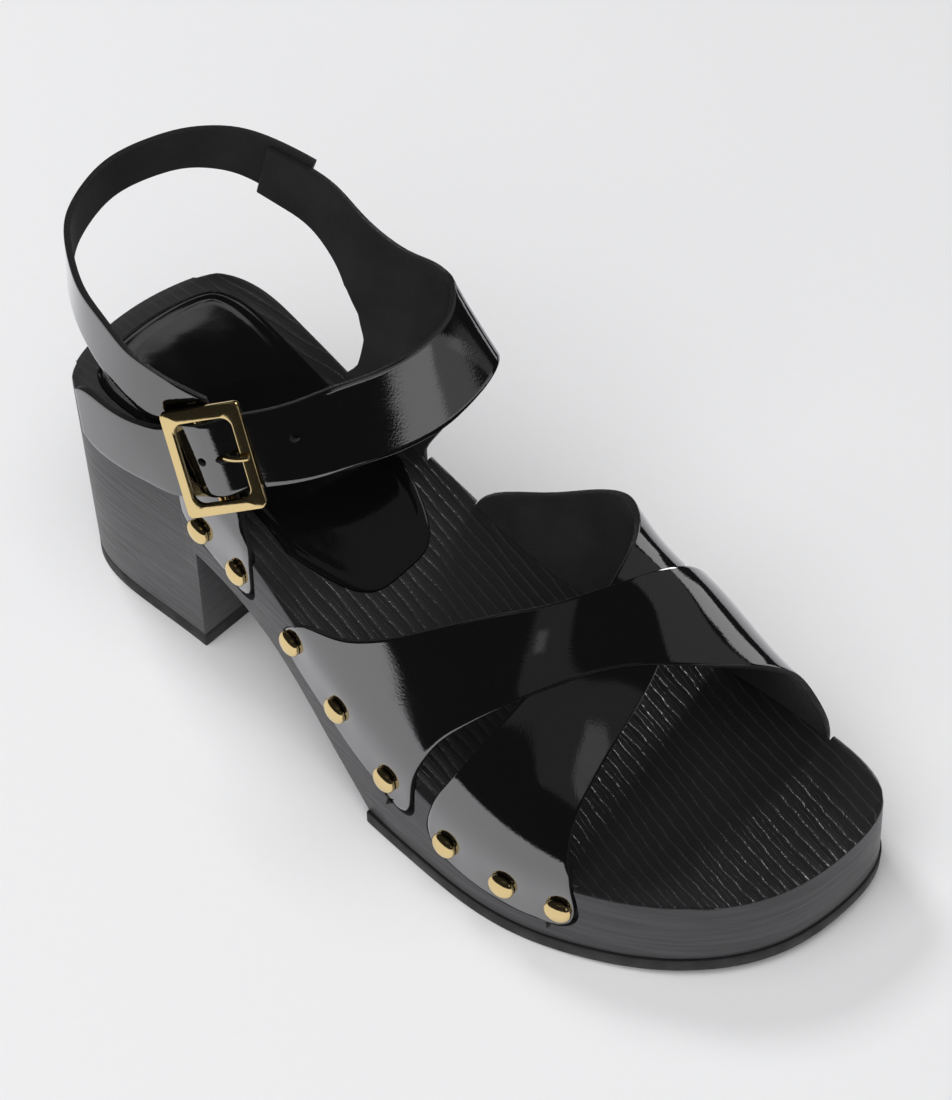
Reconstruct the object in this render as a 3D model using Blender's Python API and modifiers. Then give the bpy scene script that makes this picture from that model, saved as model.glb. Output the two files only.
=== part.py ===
"""A right-foot clog sandal: block-heel sole, crossed vamp straps and a buckled ankle strap.

Sizes and tables are in millimetres, measured on the shoe: x runs from the back of the heel
to the toe, y towards the inner (medial) side of the foot and z up from the floor.
"""
import math
from collections import namedtuple

import bmesh
import bpy
import numpy as np
from mathutils import Matrix, Vector

MM = 0.001
GAP = 0.3
LATERAL, MEDIAL = -1, 1

# Middle of the shoe's box on the floor, which becomes the model's origin
CENTRE = Vector((129.78, 1.597, 0.0))

# Sole sizes
OUTSOLE_THICKNESS = 4.5
LIFT_THICKNESS = 5.0
OUTSOLE_START = 140.5
BREAST_FOOT, BREAST_TOP = 61.8, 63.3
SPRING_START, SPRING_END, TOE_SPRING = 185.0, 258.0, 4.9
FOOTBED_DISH = 1.6
OUTSOLE_LEDGE = 1.8
RIM_ROUNDING, RIM_ANGLE = 1.2, math.radians(50)
SHARP_ANGLE = math.radians(40)
OUTLINE_SAMPLES = 300

# Plan of the footbed rim, once round from the back of the heel: x, y
SOLE_OUTLINE = (
    (-0.3, 3.0), (2.2, -14.5), (8.5, -25.5), (20.0, -31.0), (36.0, -32.4), (62.1, -32.6),
    (94.6, -36.3), (130.0, -42.3), (160.5, -45.2), (190.0, -45.1), (216.7, -36.9),
    (237.8, -23.9), (253.1, -3.7), (257.9, 17.9), (255.0, 37.0), (225.6, 48.1),
    (190.0, 47.7), (149.7, 37.2), (109.9, 30.3), (69.9, 29.0), (40.0, 33.4),
    (20.0, 35.6), (8.5, 31.8), (2.2, 21.0),
)
# Rows of the outline where its sides turn into the heel end and the toe end
HEEL_LATERAL, TOE_LATERAL, TOE_MEDIAL, HEEL_MEDIAL = 2, 11, 14, 22

# Height of the footbed rim: x, z
FOOTBED_RISE = (
    (0, 73.0), (20, 74.0), (40, 74.5), (55, 73.8), (66, 72.0), (80, 67.5), (105, 57.0),
    (130, 44.0), (150, 35.5), (175, 29.5), (200, 28.0), (230, 29.0), (258, 32.0),
)
# Underside of the waist between the heel breast and the outsole: x, z
WAIST_ARCH = ((63.3, 44.0), (80, 41.5), (100, 35.3), (115, 26.0), (129, 14.5), (141, 4.8))
# How far the foot of the side wall stands outside the rim: x, flare
WALL_FLARE = ((0, -1.5), (61.8, -1.5), (63.3, 0.0), (130, 0.5), (150, 1.2), (258, 1.2))
# Columns of the sole's loft up to where its two sides part company at the toe
SOLE_STATIONS = (
    8.5, 16, 26, 37, 49, BREAST_FOOT, BREAST_TOP, 74, 85, 96, 107, 118, 129, OUTSOLE_START,
    152, 163, 174, 185, 196, 207,
)
TOE_COLUMNS = 4
END_FADE = 5
SOLE_ROWS = 7

# Heel sock: columns in front of the heel seat, and how far its lateral side draws in there
SOCK_INSET, SOCK_SUNK, SOCK_PROUD = 7.5, 0.9, 0.7
SOCK_FRONT_COLUMNS = (72.0, 82.0, 92.0)
SOCK_TIP, SOCK_ROUNDING = 114.5, 4
SOCK_NOSE_FROM = 0.35
SOCK_DRAWN_IN, SOCK_DRAWN_FROM = 3.5, 40.0

# Leather
LEATHER = 2.0
RECESS = 2.0
NOTCH_MARGIN = 1.0
RECESS_RISE, RECESS_CELLS = 6.0, 7
END_DEPTH = 17.0
CORNER_RADIUS = 8.0
LEATHER_CELL = 5.0

# The last under the vamp: arch height and medial bulge at each station: x, height, bulge
VAMP_LAST = (
    (100, 73.0, 9.0), (120, 72.0, 14.0), (150, 71.0, 28.0), (170, 56.6, 16.0),
    (190, 48.2, 5.0), (210, 36.0, -3.0), (230, 28.0, -4.0),
)
LAST_LEAN = 10.0
LAST_SHOULDERS = 0.55, 1.75

# Strap edges along the girth: girth -1 is the lateral end, 0 and 1 the rims, 2 the medial end
StrapEdge = namedtuple("StrapEdge", "girth rear front")
OVER_STRAP = (
    StrapEdge(-1.0, 100.5, 158.0), StrapEdge(0.0, 110.5, 157.7), StrapEdge(0.1, 126.0, 160.0),
    StrapEdge(0.2, 141.0, 166.6), StrapEdge(0.3, 153.8, 175.4), StrapEdge(0.45, 169.0, 190.0),
    StrapEdge(0.6, 179.0, 205.8), StrapEdge(0.75, 184.3, 216.6), StrapEdge(0.85, 187.0, 221.8),
    StrapEdge(0.92, 188.7, 226.0), StrapEdge(1.0, 190.5, 229.0), StrapEdge(2.0, 191.0, 229.0),
)
UNDER_STRAP = (
    StrapEdge(-1.0, 163.5, 212.5), StrapEdge(0.0, 166.0, 209.0), StrapEdge(0.1, 169.3, 205.4),
    StrapEdge(0.2, 172.3, 202.2), StrapEdge(0.3, 175.2, 201.0), StrapEdge(0.45, 177.3, 199.2),
    StrapEdge(0.6, 174.0, 193.5), StrapEdge(0.7, 169.2, 187.0), StrapEdge(0.78, 161.8, 181.0),
    StrapEdge(0.85, 153.3, 176.0), StrapEdge(0.92, 138.5, 171.5), StrapEdge(1.0, 114.0, 167.0),
    StrapEdge(2.0, 111.0, 166.0),
)
# The over strap rises and falls between these girths, and is fused to the under strap
CROSSING = (0.1, 0.28, 0.78, 0.93)
FUSED_DEPTH = 0.3
WALL_CELLS, ARCH_CELLS, STRAP_ROWS = 5, 25, 8
END_CROWDING = 1.6
NORMAL_STEP = 0.004

# Buckle: a flat frame whose axes run back along the strap, up across it and out of it
BUCKLE_FRONT = Vector((82.4, -24.6, 93.4))
STRAP_AXIS = Vector((-0.765, -0.555, -0.315)).normalized()
BUCKLE_LEAN = Vector((-0.44, 0.10, 0.89))
OUT_AXIS = BUCKLE_LEAN.cross(STRAP_AXIS).normalized()
WIDTH_AXIS = STRAP_AXIS.cross(OUT_AXIS)
FRAME_LENGTH, FRAME_WIDTH, FRAME_THICKNESS = 23.0, 31.0, 2.2
FRAME_BAR, FRAME_SIDE = 3.1, 3.6
OUTER_CORNER, INNER_CORNER, FRAME_EDGE = 1.4, 3.2, 0.4
CENTRE_BAR_AT, CENTRE_BAR_RADIUS, CENTRE_BAR_DROP = 13.0, 1.1, -0.6
CENTRE_BAR_SIDES, CORNER_STEPS = 12, 4
PRONG_RADIUS = 0.8
# Prong in the buckle's side view: along the strap, out of it
PRONG_PATH = ((11.3, -0.7), (9.4, 0.2), (7.4, 1.5), (5.4, 2.6), (3.2, 3.3), (1.4, 3.4), (0.2, 3.2))
PRONG_SLOT_FROM, PRONG_SLOT_TO = 4.6, 10.6
PRONG_SLOT_WIDTH, PRONG_SLOT_DEPTH = 2.6, 5.0

# The ankle strap where it runs through the buckle: distance behind the frame's front, height
STRAP_IN_BUCKLE = (
    (25.0, -2.7), (22.0, -2.6), (17.5, -2.6), (15.9, -1.0), (14.7, 0.6), (13.0, 0.9),
    (11.2, 0.8), (9.0, 0.1), (6.8, -1.2), (4.2, -2.4), (0.0, -2.5),
)
ANKLE_WIDTH = 22.0
# End of the lateral quarter under the buckle, its lower and upper edge in the buckle's axes
QUARTER_UNDER_BUCKLE = (
    ((23.2, 2.8, -6.3), (17.3, 22.0, -4.7)), ((19.0, 0.1, -5.3), (13.7, 19.2, -4.8)),
    ((15.1, -0.8, -5.5), (12.5, 18.2, -4.8)), ((11.8, -1.8, -5.5), (11.3, 17.1, -4.8)),
    ((9.2, -3.1, -5.3), (10.0, 16.1, -5.0)),
)

# Studs
STUD_RADIUS, STUD_HEIGHT, STUD_EDGE = 4.0, 2.5, 0.5
STUD_SIDES, STUD_STEPS = 10, 4
# Stud places: side of the shoe, x, depth below the rim
STUDS = (
    (LATERAL, 66.5, 15.5), (LATERAL, 83.0, 13.5), (LATERAL, 107.5, 10.0), (LATERAL, 127.5, 9.0),
    (LATERAL, 148.0, 10.5), (LATERAL, 171.5, 11.0), (LATERAL, 191.0, 10.0), (LATERAL, 207.0, 10.0),
    (MEDIAL, 73.5, 9.0), (MEDIAL, 87.0, 9.0), (MEDIAL, 120.0, 9.0), (MEDIAL, 139.0, 9.0),
    (MEDIAL, 158.0, 9.0), (MEDIAL, 198.0, 9.0), (MEDIAL, 210.0, 9.0), (MEDIAL, 222.0, 9.0),
)

# Rows of the ankle leather: its lower and upper edge, and the side whose tab hangs from it
Row = namedtuple("Row", "lower upper tab", defaults=(None,))
ANKLE_CELLS = 6
# Rear and front x of the quarters' tabs at the rim, and their depth below it
QUARTER_FOOT = {LATERAL: (58.5, 89.0), MEDIAL: (65.5, 96.0)}
TAB_DEPTH = {LATERAL: 20.5, MEDIAL: END_DEPTH}
# Rows of a tab: shares of the way down to the rim, then shares of its depth below it
TAB_SHARES = (0.35, 0.7)
TAB_ROWS = (0.0, 0.27, 0.53, 0.7, 0.85, 0.95, 1.0)


# Curves and small helpers

def spline(knots, values):
    """Natural cubic spline through numbers or points at the knots."""
    at = np.asarray(knots, float)
    value = np.asarray(values, float)
    step = np.diff(at)
    system = np.eye(len(at))
    slope_change = np.zeros_like(value)
    for i in range(1, len(at) - 1):
        system[i, i - 1:i + 2] = step[i - 1], 2 * (step[i - 1] + step[i]), step[i]
        ahead = (value[i + 1] - value[i]) / step[i]
        behind = (value[i] - value[i - 1]) / step[i - 1]
        slope_change[i] = 6 * (ahead - behind)
    bend = np.linalg.solve(system, slope_change)

    def evaluate(t):
        i = int(np.clip(np.searchsorted(at, t) - 1, 0, len(at) - 2))
        a = (at[i + 1] - t) / step[i]
        b = (t - at[i]) / step[i]
        cubic = (a ** 3 - a) * bend[i] + (b ** 3 - b) * bend[i + 1]
        return a * value[i] + b * value[i + 1] + cubic * step[i] ** 2 / 6

    return evaluate


def monotone(knots, values):
    """Curve through numbers or points that never swings past them."""
    at = np.asarray(knots, float)
    value = np.asarray(values, float)
    step = np.diff(at)
    slope = (np.diff(value, axis=0).T / step).T
    same_way = slope[:-1] * slope[1:] > 0
    total = np.where(same_way, slope[:-1] + slope[1:], 1.0)
    inner = np.where(same_way, 2 * slope[:-1] * slope[1:] / total, 0.0)
    tangent = np.concatenate([slope[:1], inner, slope[-1:]])

    def evaluate(t):
        i = int(np.clip(np.searchsorted(at, t) - 1, 0, len(at) - 2))
        s = (t - at[i]) / step[i]
        leave = tangent[i] * (s ** 3 - 2 * s ** 2 + s) + tangent[i + 1] * (s ** 3 - s ** 2)
        return mix(value[i], value[i + 1], s * s * (3 - 2 * s)) + leave * step[i]

    return evaluate


def chord_lengths(points):
    """Running length along a row of points."""
    steps = np.linalg.norm(np.diff(np.asarray(points, float), axis=0), axis=1)
    return np.concatenate([[0.0], np.cumsum(steps)])


def mix(a, b, share):
    """Point or number between a and b."""
    return a + (b - a) * share


def ease(value, start, end):
    """Smooth step from 0 at start to 1 at end."""
    share = min(max((value - start) / (end - start), 0.0), 1.0)
    return share * share * (3 - 2 * share)


# The sole's plan and heights

def make_outline():
    """Closed smooth curve through the outline's rows, with the length at each row."""
    wrap = 3
    rows = np.array(SOLE_OUTLINE)
    ring = np.vstack([rows[-wrap:], rows, rows[:wrap + 1]])
    lengths = chord_lengths(ring)
    return spline(lengths, ring), lengths[wrap:wrap + len(rows) + 1]


OUTLINE, ROW_LENGTHS = make_outline()


def outline_point(length, flare=None):
    """Point of the rim in plan, moved outwards by the flare there."""
    point = OUTLINE(length)
    if flare is None:
        return point
    ahead = OUTLINE(length + 0.5) - OUTLINE(length - 0.5)
    outwards = np.array((ahead[1], -ahead[0])) / np.linalg.norm(ahead)
    return point + outwards * flare(point[0])


def side_samples(start, end):
    """Lengths and x along one side of the outline, in order of x."""
    lengths = np.linspace(ROW_LENGTHS[start], ROW_LENGTHS[end], OUTLINE_SAMPLES)
    stations = np.array([OUTLINE(t)[0] for t in lengths])
    order = np.argsort(stations)
    return stations[order], lengths[order]


SIDES = {
    LATERAL: side_samples(HEEL_LATERAL, TOE_LATERAL),
    MEDIAL: side_samples(TOE_MEDIAL, HEEL_MEDIAL),
}
ROUND = ROW_LENGTHS[-1] - ROW_LENGTHS[0]
END_LENGTHS = {
    "heel": (ROW_LENGTHS[HEEL_LATERAL] + ROUND, ROW_LENGTHS[HEEL_MEDIAL]),
    "toe": (ROW_LENGTHS[TOE_LATERAL], ROW_LENGTHS[TOE_MEDIAL]),
}


def side_point(x, side, flare=None):
    """Point of the rim on one side at station x."""
    stations, lengths = SIDES[side]
    return outline_point(float(np.interp(x, stations, lengths)), flare)


def rim_y(x, side):
    """Where the rim lies on one side at station x."""
    return side_point(x, side)[1]


def end_point(end, across, flare=None):
    """Point of the heel end or the toe end, from the lateral corner to the medial one."""
    start, stop = END_LENGTHS[end]
    length = mix(start, stop, across)
    if length > ROW_LENGTHS[-1]:
        length -= ROUND
    return outline_point(length, flare)


footbed_z = spline(*zip(*FOOTBED_RISE))
waist_z = spline(*zip(*WAIST_ARCH))


def wall_flare(x):
    """Flare of the side wall's foot."""
    return float(np.interp(x, *zip(*WALL_FLARE)))


def ground_z(x):
    """Underside of the outsole, with the toe spring."""
    share = max(0.0, (x - SPRING_START) / (SPRING_END - SPRING_START))
    return TOE_SPRING * share ** 2


def underside_z(x):
    """Underside of the clog sole: heel seat, waist arch and forefoot."""
    if x <= BREAST_FOOT + 0.01:
        return LIFT_THICKNESS + GAP
    if x < OUTSOLE_START - 0.01:
        return float(waist_z(x))
    return ground_z(x) + OUTSOLE_THICKNESS + GAP


def sole_columns(first, last):
    """Lateral and medial x of each column, the two parting at the toe."""
    columns = [(x, x) for x in SOLE_STATIONS if first <= x <= last]
    if last > SOLE_STATIONS[-1]:
        lateral_end = SOLE_OUTLINE[TOE_LATERAL][0]
        medial_end = SOLE_OUTLINE[TOE_MEDIAL][0]
        start = SOLE_STATIONS[-1]
        for k in range(1, TOE_COLUMNS + 1):
            share = k / TOE_COLUMNS
            columns.append((mix(start, lateral_end, share), mix(start, medial_end, share)))
    return columns


def plan_point(columns, index, across, flare=None, heel=False, toe=False):
    """Point in plan on a column, with the heel and toe ends rounded into the loft."""
    lateral = side_point(columns[index][0], LATERAL, flare)
    medial = side_point(columns[index][1], MEDIAL, flare)
    point = mix(lateral, medial, across)
    for end, used, steps in (("heel", heel, index), ("toe", toe, len(columns) - 1 - index)):
        if used and steps < END_FADE:
            chord = mix(end_point(end, 0.0, flare), end_point(end, 1.0, flare), across)
            weight = (1 - steps / END_FADE) ** 2
            point = point + (end_point(end, across, flare) - chord) * weight
    return point


# Making meshes

def clear_scene():
    """Remove what the scene holds at the start."""
    for item in list(bpy.data.objects):
        bpy.data.objects.remove(item, do_unlink=True)


def new_collection(name):
    """A collection linked to the scene."""
    collection = bpy.data.collections.new(name)
    bpy.context.scene.collection.children.link(collection)
    return collection


def new_material(name, colour, roughness, metallic=0.0):
    """Principled material of one finish."""
    finish = bpy.data.materials.new(name)
    finish.use_nodes = True
    shader = finish.node_tree.nodes["Principled BSDF"]
    shader.inputs["Base Color"].default_value = (*colour, 1.0)
    shader.inputs["Roughness"].default_value = roughness
    shader.inputs["Metallic"].default_value = metallic
    return finish


def add_object(name, data, collection, finish=None):
    """Object for a mesh or curve, in a collection and with a finish."""
    item = bpy.data.objects.new(name, data)
    collection.objects.link(item)
    if finish:
        data.materials.append(finish)
    return item


def add_cutter(name, mesh):
    """Object used only to cut or join another."""
    item = add_object(name, mesh, CUTTERS)
    item.hide_render = True
    item.display_type = "WIRE"
    return item


def slab_mesh(name, columns, rows, place):
    """Sheet of columns by rows cells with a thickness, wrapped into its place.

    place(u, v, w) takes the flat sheet to the shoe: u and v from 0 to 1 along and across it,
    w 0 on its inner face and 1 on its outer face.
    """
    sheet = bmesh.new()
    bmesh.ops.create_grid(sheet, x_segments=columns, y_segments=rows, size=0.5)
    extruded = bmesh.ops.extrude_face_region(sheet, geom=sheet.faces[:])["geom"]
    outer = [part for part in extruded if isinstance(part, bmesh.types.BMVert)]
    bmesh.ops.translate(sheet, verts=outer, vec=(0, 0, 1))
    for vert in sheet.verts:
        point = place(vert.co.x + 0.5, vert.co.y + 0.5, vert.co.z)
        vert.co = (Vector(point) - CENTRE) * MM
    bmesh.ops.triangulate(sheet, faces=sheet.faces[:])
    bmesh.ops.recalc_face_normals(sheet, faces=sheet.faces[:])
    mesh = bpy.data.meshes.new(name)
    sheet.to_mesh(mesh)
    sheet.free()
    return mesh


def boolean(item, operation, other):
    """Boolean modifier with a cutter."""
    modifier = item.modifiers.new(operation.title(), "BOOLEAN")
    modifier.operation = operation
    modifier.object = other
    modifier.solver = "EXACT"


def settled_mesh(item, name):
    """Mesh of an object with its modifiers done and its doubles merged; the object is removed."""
    bpy.context.view_layer.update()
    depsgraph = bpy.context.evaluated_depsgraph_get()
    mesh = bpy.data.meshes.new_from_object(item.evaluated_get(depsgraph))
    mesh.name = name
    work = bmesh.new()
    work.from_mesh(mesh)
    bmesh.ops.remove_doubles(work, verts=work.verts[:], dist=0.00001)
    work.to_mesh(mesh)
    work.free()
    bpy.data.objects.remove(item, do_unlink=True)
    return mesh


# Sole, outsole, lift and sock

def make_clog_sole():
    """Platform and block heel in one, lofted from the heel end to the toe end."""
    columns = sole_columns(0, SPRING_END)

    def place(u, v, w):
        index = round(u * (len(columns) - 1))
        if w > 0.5:
            x, y = plan_point(columns, index, v, None, True, True)
            hollow = FOOTBED_DISH * (1 - (2 * v - 1) ** 4)
            return x, y, float(footbed_z(x)) - hollow
        x, y = plan_point(columns, index, v, wall_flare, True, True)
        station = mix(*columns[index], v)
        return x, y, underside_z(station)

    mesh = slab_mesh("clog_sole", len(columns) - 1, SOLE_ROWS, place)
    sole = add_object("clog_sole", mesh, PARTS, SOLE_FINISH)
    rounding = sole.modifiers.new("Rim", "BEVEL")
    rounding.width = RIM_ROUNDING * MM
    rounding.segments = 2
    rounding.limit_method = "ANGLE"
    rounding.angle_limit = RIM_ANGLE
    return sole


def make_forefoot_outsole():
    """Thin tread that follows the forefoot and its toe spring, a ledge wider than the sole."""
    columns = sole_columns(OUTSOLE_START, SPRING_END)

    def ledge(_x):
        return OUTSOLE_LEDGE

    def place(u, v, w):
        index = round(u * (len(columns) - 1))
        x, y = plan_point(columns, index, v, ledge, False, True)
        station = mix(*columns[index], v)
        return x, y, ground_z(station) + OUTSOLE_THICKNESS * w

    mesh = slab_mesh("forefoot_outsole", len(columns) - 1, SOLE_ROWS, place)
    return add_object("forefoot_outsole", mesh, PARTS, RUBBER_FINISH)


def make_heel_lift():
    """Flat top piece under the block heel."""
    columns = sole_columns(0, BREAST_FOOT)

    def place(u, v, w):
        index = round(u * (len(columns) - 1))
        x, y = plan_point(columns, index, v, wall_flare, True, False)
        return x, y, LIFT_THICKNESS * w

    mesh = slab_mesh("heel_lift", len(columns) - 1, SOLE_ROWS, place)
    return add_object("heel_lift", mesh, PARTS, RUBBER_FINISH)


def sock_place(grow, bottom, top):
    """Placing function of the heel sock's plan, grown by a margin, between two heights."""
    shoulder = SOCK_FRONT_COLUMNS[-1]
    columns = sole_columns(0, BREAST_FOOT) + [(x, x) for x in SOCK_FRONT_COLUMNS]
    nose = SOCK_TIP - shoulder

    def inset(_x):
        return grow - SOCK_INSET

    def place(u, v, w):
        index = round(u * (len(columns) - 1))
        x, y = plan_point(columns, index, v, inset, True, False)
        y += SOCK_DRAWN_IN * ease(x, SOCK_DRAWN_FROM, shoulder) * (1 - v)
        forward = ease(u, SOCK_NOSE_FROM, 1.0)
        x += (nose + grow) * forward * (1 - abs(2 * v - 1) ** SOCK_ROUNDING)
        across = (y - rim_y(x, LATERAL)) / (rim_y(x, MEDIAL) - rim_y(x, LATERAL))
        hollow = FOOTBED_DISH * (1 - (2 * across - 1) ** 4)
        return x, y, float(footbed_z(x)) - hollow + mix(bottom, top, w)

    return place, len(columns) - 1


def make_heel_sock(sole):
    """Padded sock let into the heel half of the footbed, with a rounded front."""
    place, columns = sock_place(0.0, -SOCK_SUNK, SOCK_PROUD)
    mesh = slab_mesh("heel_sock", columns, SOLE_ROWS, place)
    add_object("heel_sock", mesh, PARTS, SOCK_FINISH)
    place, columns = sock_place(GAP, -SOCK_SUNK - GAP, RECESS_RISE)
    pocket = slab_mesh("sock_pocket", columns, SOLE_ROWS, place)
    boolean(sole, "DIFFERENCE", add_cutter("sock_pocket_tool", pocket))


# Vamp straps

def make_last():
    """Arch height and medial bulge of the last as smooth curves along the foot."""
    stations, heights, bulges = zip(*VAMP_LAST)
    return spline(stations, heights), spline(stations, bulges)


last_height, last_bulge = make_last()


def wall_point(x, side, depth):
    """Back of the recess in the side wall, depth below the rim."""
    return np.array((x, rim_y(x, side) - side * RECESS, float(footbed_z(x)) - depth))


def vamp_point(x, girth):
    """Inner face of the vamp: down the lateral wall, over the last and down the medial wall."""
    if girth < 0:
        return wall_point(x, LATERAL, -girth * END_DEPTH)
    if girth > 1:
        return wall_point(x, MEDIAL, (girth - 1) * END_DEPTH)
    height = float(last_height(x))
    low, high = LAST_SHOULDERS
    start = wall_point(x, LATERAL, 0.0)
    end = wall_point(x, MEDIAL, 0.0)
    rise = start + np.array((0, LAST_LEAN, height * low))
    fall = end + np.array((0, float(last_bulge(x)), height * high))
    rest = 1 - girth
    shoulder = 3 * girth * rest ** 2 * rise + 3 * girth ** 2 * rest * fall
    return rest ** 3 * start + shoulder + girth ** 3 * end


def strap_girth(u):
    """Girth for the share u of the strap's cells, closer together at its rounded ends."""
    cells = u * (2 * WALL_CELLS + ARCH_CELLS)
    if cells < WALL_CELLS:
        return (cells / WALL_CELLS) ** END_CROWDING - 1
    if cells > WALL_CELLS + ARCH_CELLS:
        left = 2 * WALL_CELLS + ARCH_CELLS - cells
        return 2 - (left / WALL_CELLS) ** END_CROWDING
    return (cells - WALL_CELLS) / ARCH_CELLS


def corner_inset(left, radius):
    """How far an edge draws in where a rounded end is this far ahead."""
    if left >= radius:
        return 0.0
    return radius - math.sqrt(radius ** 2 - (radius - left) ** 2)


def strap_edges(strap):
    """Rear and front x of a vamp strap at a girth."""
    girths, rears, fronts = zip(*strap)
    rear, front = monotone(girths, rears), monotone(girths, fronts)

    def at(girth):
        return float(rear(girth)), float(front(girth))

    return at


def strap_place(strap, base):
    """Placing function of a vamp strap lying at a height off the last."""
    edges = strap_edges(strap)

    def surface(u, v):
        girth = strap_girth(u)
        rear, front = edges(girth)
        inset = corner_inset(END_DEPTH * min(1 + girth, 2 - girth), CORNER_RADIUS)
        return vamp_point(mix(rear + inset, front - inset, v), girth)

    def place(u, v, w):
        return lifted(surface, u, v, base(strap_girth(u)) + LEATHER * w)

    return place


def lifted(surface, u, v, height):
    """Point at a height off a surface, along its normal."""
    u0, u1 = max(0.0, u - NORMAL_STEP), min(1.0, u + NORMAL_STEP)
    v0, v1 = max(0.0, v - NORMAL_STEP), min(1.0, v + NORMAL_STEP)
    along = surface(u1, v) - surface(u0, v)
    across = surface(u, v1) - surface(u, v0)
    normal = np.cross(along, across)
    normal = normal / np.linalg.norm(normal)
    return surface(u, v) - normal * height


def under_lift(_girth):
    """The under strap lies on the last all the way."""
    return 0.0


def over_lift(girth):
    """Height of the over strap off the last, where it climbs over the under strap."""
    rise_from, rise_to, fall_from, fall_to = CROSSING
    climb = ease(girth, rise_from, rise_to) - ease(girth, fall_from, fall_to)
    return (LEATHER - FUSED_DEPTH) * climb


def make_vamp_straps():
    """Under strap and over strap, joined where they cross."""
    cells = 2 * WALL_CELLS + ARCH_CELLS
    under = slab_mesh("vamp_straps", cells, STRAP_ROWS, strap_place(UNDER_STRAP, under_lift))
    over = slab_mesh("over_strap", cells, STRAP_ROWS, strap_place(OVER_STRAP, over_lift))
    straps = add_object("vamp_straps", under, PARTS, PATENT_FINISH)
    boolean(straps, "UNION", add_cutter("over_strap_tool", over))
    return straps


def cut_recess(sole, name, side, end_depth, edges):
    """Recess in the side wall for a strap's rounded end.

    edges(share) gives the strap's rear and front x from the rim, 0, to its end, 1.
    """
    deepest = end_depth + NOTCH_MARGIN
    radius = CORNER_RADIUS + NOTCH_MARGIN

    def place(u, v, w):
        depth = deepest - (deepest + RECESS_RISE) * u ** END_CROWDING
        rear, front = edges(min(max(depth / end_depth, 0.0), 1.0))
        inset = corner_inset(deepest - depth, radius) - NOTCH_MARGIN
        out = mix(-GAP, RECESS + LEATHER, w)
        x = mix(rear + inset, front - inset, v)
        return wall_point(x, side, depth) + np.array((0, side * out, 0))

    mesh = slab_mesh(name + "_recess", RECESS_CELLS, RECESS_CELLS, place)
    boolean(sole, "DIFFERENCE", add_cutter(name + "_recess_tool", mesh))


def cut_recesses(sole):
    """Recesses for both ends of the vamp straps and for the tabs of the quarters."""
    for name, strap in (("over", OVER_STRAP), ("under", UNDER_STRAP)):
        edges = strap_edges(strap)
        cut_recess(sole, name + "_lateral", LATERAL, END_DEPTH, lambda share: edges(-share))
        cut_recess(sole, name + "_medial", MEDIAL, END_DEPTH, lambda share: edges(1 + share))
    for name, side in (("lateral", LATERAL), ("medial", MEDIAL)):
        foot = QUARTER_FOOT[side]
        cut_recess(sole, name + "_quarter", side, TAB_DEPTH[side], lambda share: foot)


# Ankle strap, quarters and heel strap

def buckle_point(along, across, out):
    """Point from the buckle's own axes."""
    return BUCKLE_FRONT + STRAP_AXIS * along + WIDTH_AXIS * across + OUT_AXIS * out


def buckle_row(along, out):
    """Row of the ankle strap inside the buckle."""
    half = ANKLE_WIDTH / 2
    return Row(buckle_point(along, -half, out), buckle_point(along, half, out))


def ankle_rows():
    """Rows of the ankle leather from the front of the lateral quarter to the strap's tail."""
    tail = [
        Row((34.5, -42.0, 82.4), (32.5, -41.2, 97.4)),
        Row((37.5, -42.2, 79.4), (35.5, -41.5, 100.2)),
        Row((47.0, -41.4, 77.0), (43.8, -41.0, 98.0)),
        Row((57.6, -38.8, 75.4), (51.8, -38.8, 95.8)),
    ]
    through_buckle = [buckle_row(*station) for station in STRAP_IN_BUCKLE]
    over_instep = [
        Row((92.0, -16.2, 82.6), (81.6, -13.4, 102.4)),
        Row((98.2, -4.6, 83.0), (87.4, -0.4, 103.6)),
        Row((103.3, 9.0, 82.0), (91.4, 13.6, 102.0)),
        Row((107.0, 24.0, 82.9), (93.4, 27.0, 101.9)),
        Row((107.9, 36.5, 86.2), (93.0, 37.0, 102.4)),
        Row((107.2, 44.6, 88.6), (91.0, 44.0, 103.8)),
    ]
    medial_quarter = [
        Row((103.4, 49.8, 90.4), (87.4, 48.2, 106.6), MEDIAL),
        Row((97.0, 46.8, 88.0), (84.0, 49.0, 109.2), MEDIAL),
        Row((88.5, 42.2, 86.2), (79.4, 48.4, 110.4), MEDIAL),
        Row((80.0, 39.0, 86.0), (74.6, 46.8, 110.8), MEDIAL),
        Row((71.6, 36.4, 86.2), (69.6, 45.4, 112.2), MEDIAL),
        Row((64.4, 34.4, 86.8), (64.8, 44.0, 114.4), MEDIAL),
        Row((54.4, 38.2, 97.6), (57.6, 42.7, 118.6)),
        Row((42.4, 39.9, 105.2), (48.9, 41.5, 124.6)),
    ]
    heel_strap = [
        Row((30.0, 36.2, 111.0), (35.6, 37.9, 129.0)),
        Row((19.2, 29.8, 117.4), (20.6, 30.4, 133.0)),
        Row((9.4, 20.2, 119.4), (10.0, 20.8, 132.6)),
        Row((3.4, 2.0, 119.6), (3.2, 2.0, 132.0)),
        Row((8.8, -17.0, 118.4), (9.4, -17.4, 131.6)),
        Row((18.6, -27.8, 115.8), (20.4, -28.0, 130.8)),
        Row((30.0, -34.0, 110.0), (34.0, -34.6, 126.4)),
    ]
    lateral_quarter = [
        Row((42.0, -36.4, 103.6), (46.0, -35.0, 118.4)),
        Row((52.6, -34.8, 95.4), (52.4, -32.0, 111.6)),
    ]
    for lower, upper in QUARTER_UNDER_BUCKLE:
        lateral_quarter.append(Row(buckle_point(*lower), buckle_point(*upper), LATERAL))
    from_tail = tail + through_buckle + over_instep + medial_quarter + heel_strap + lateral_quarter
    return from_tail[::-1]


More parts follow.
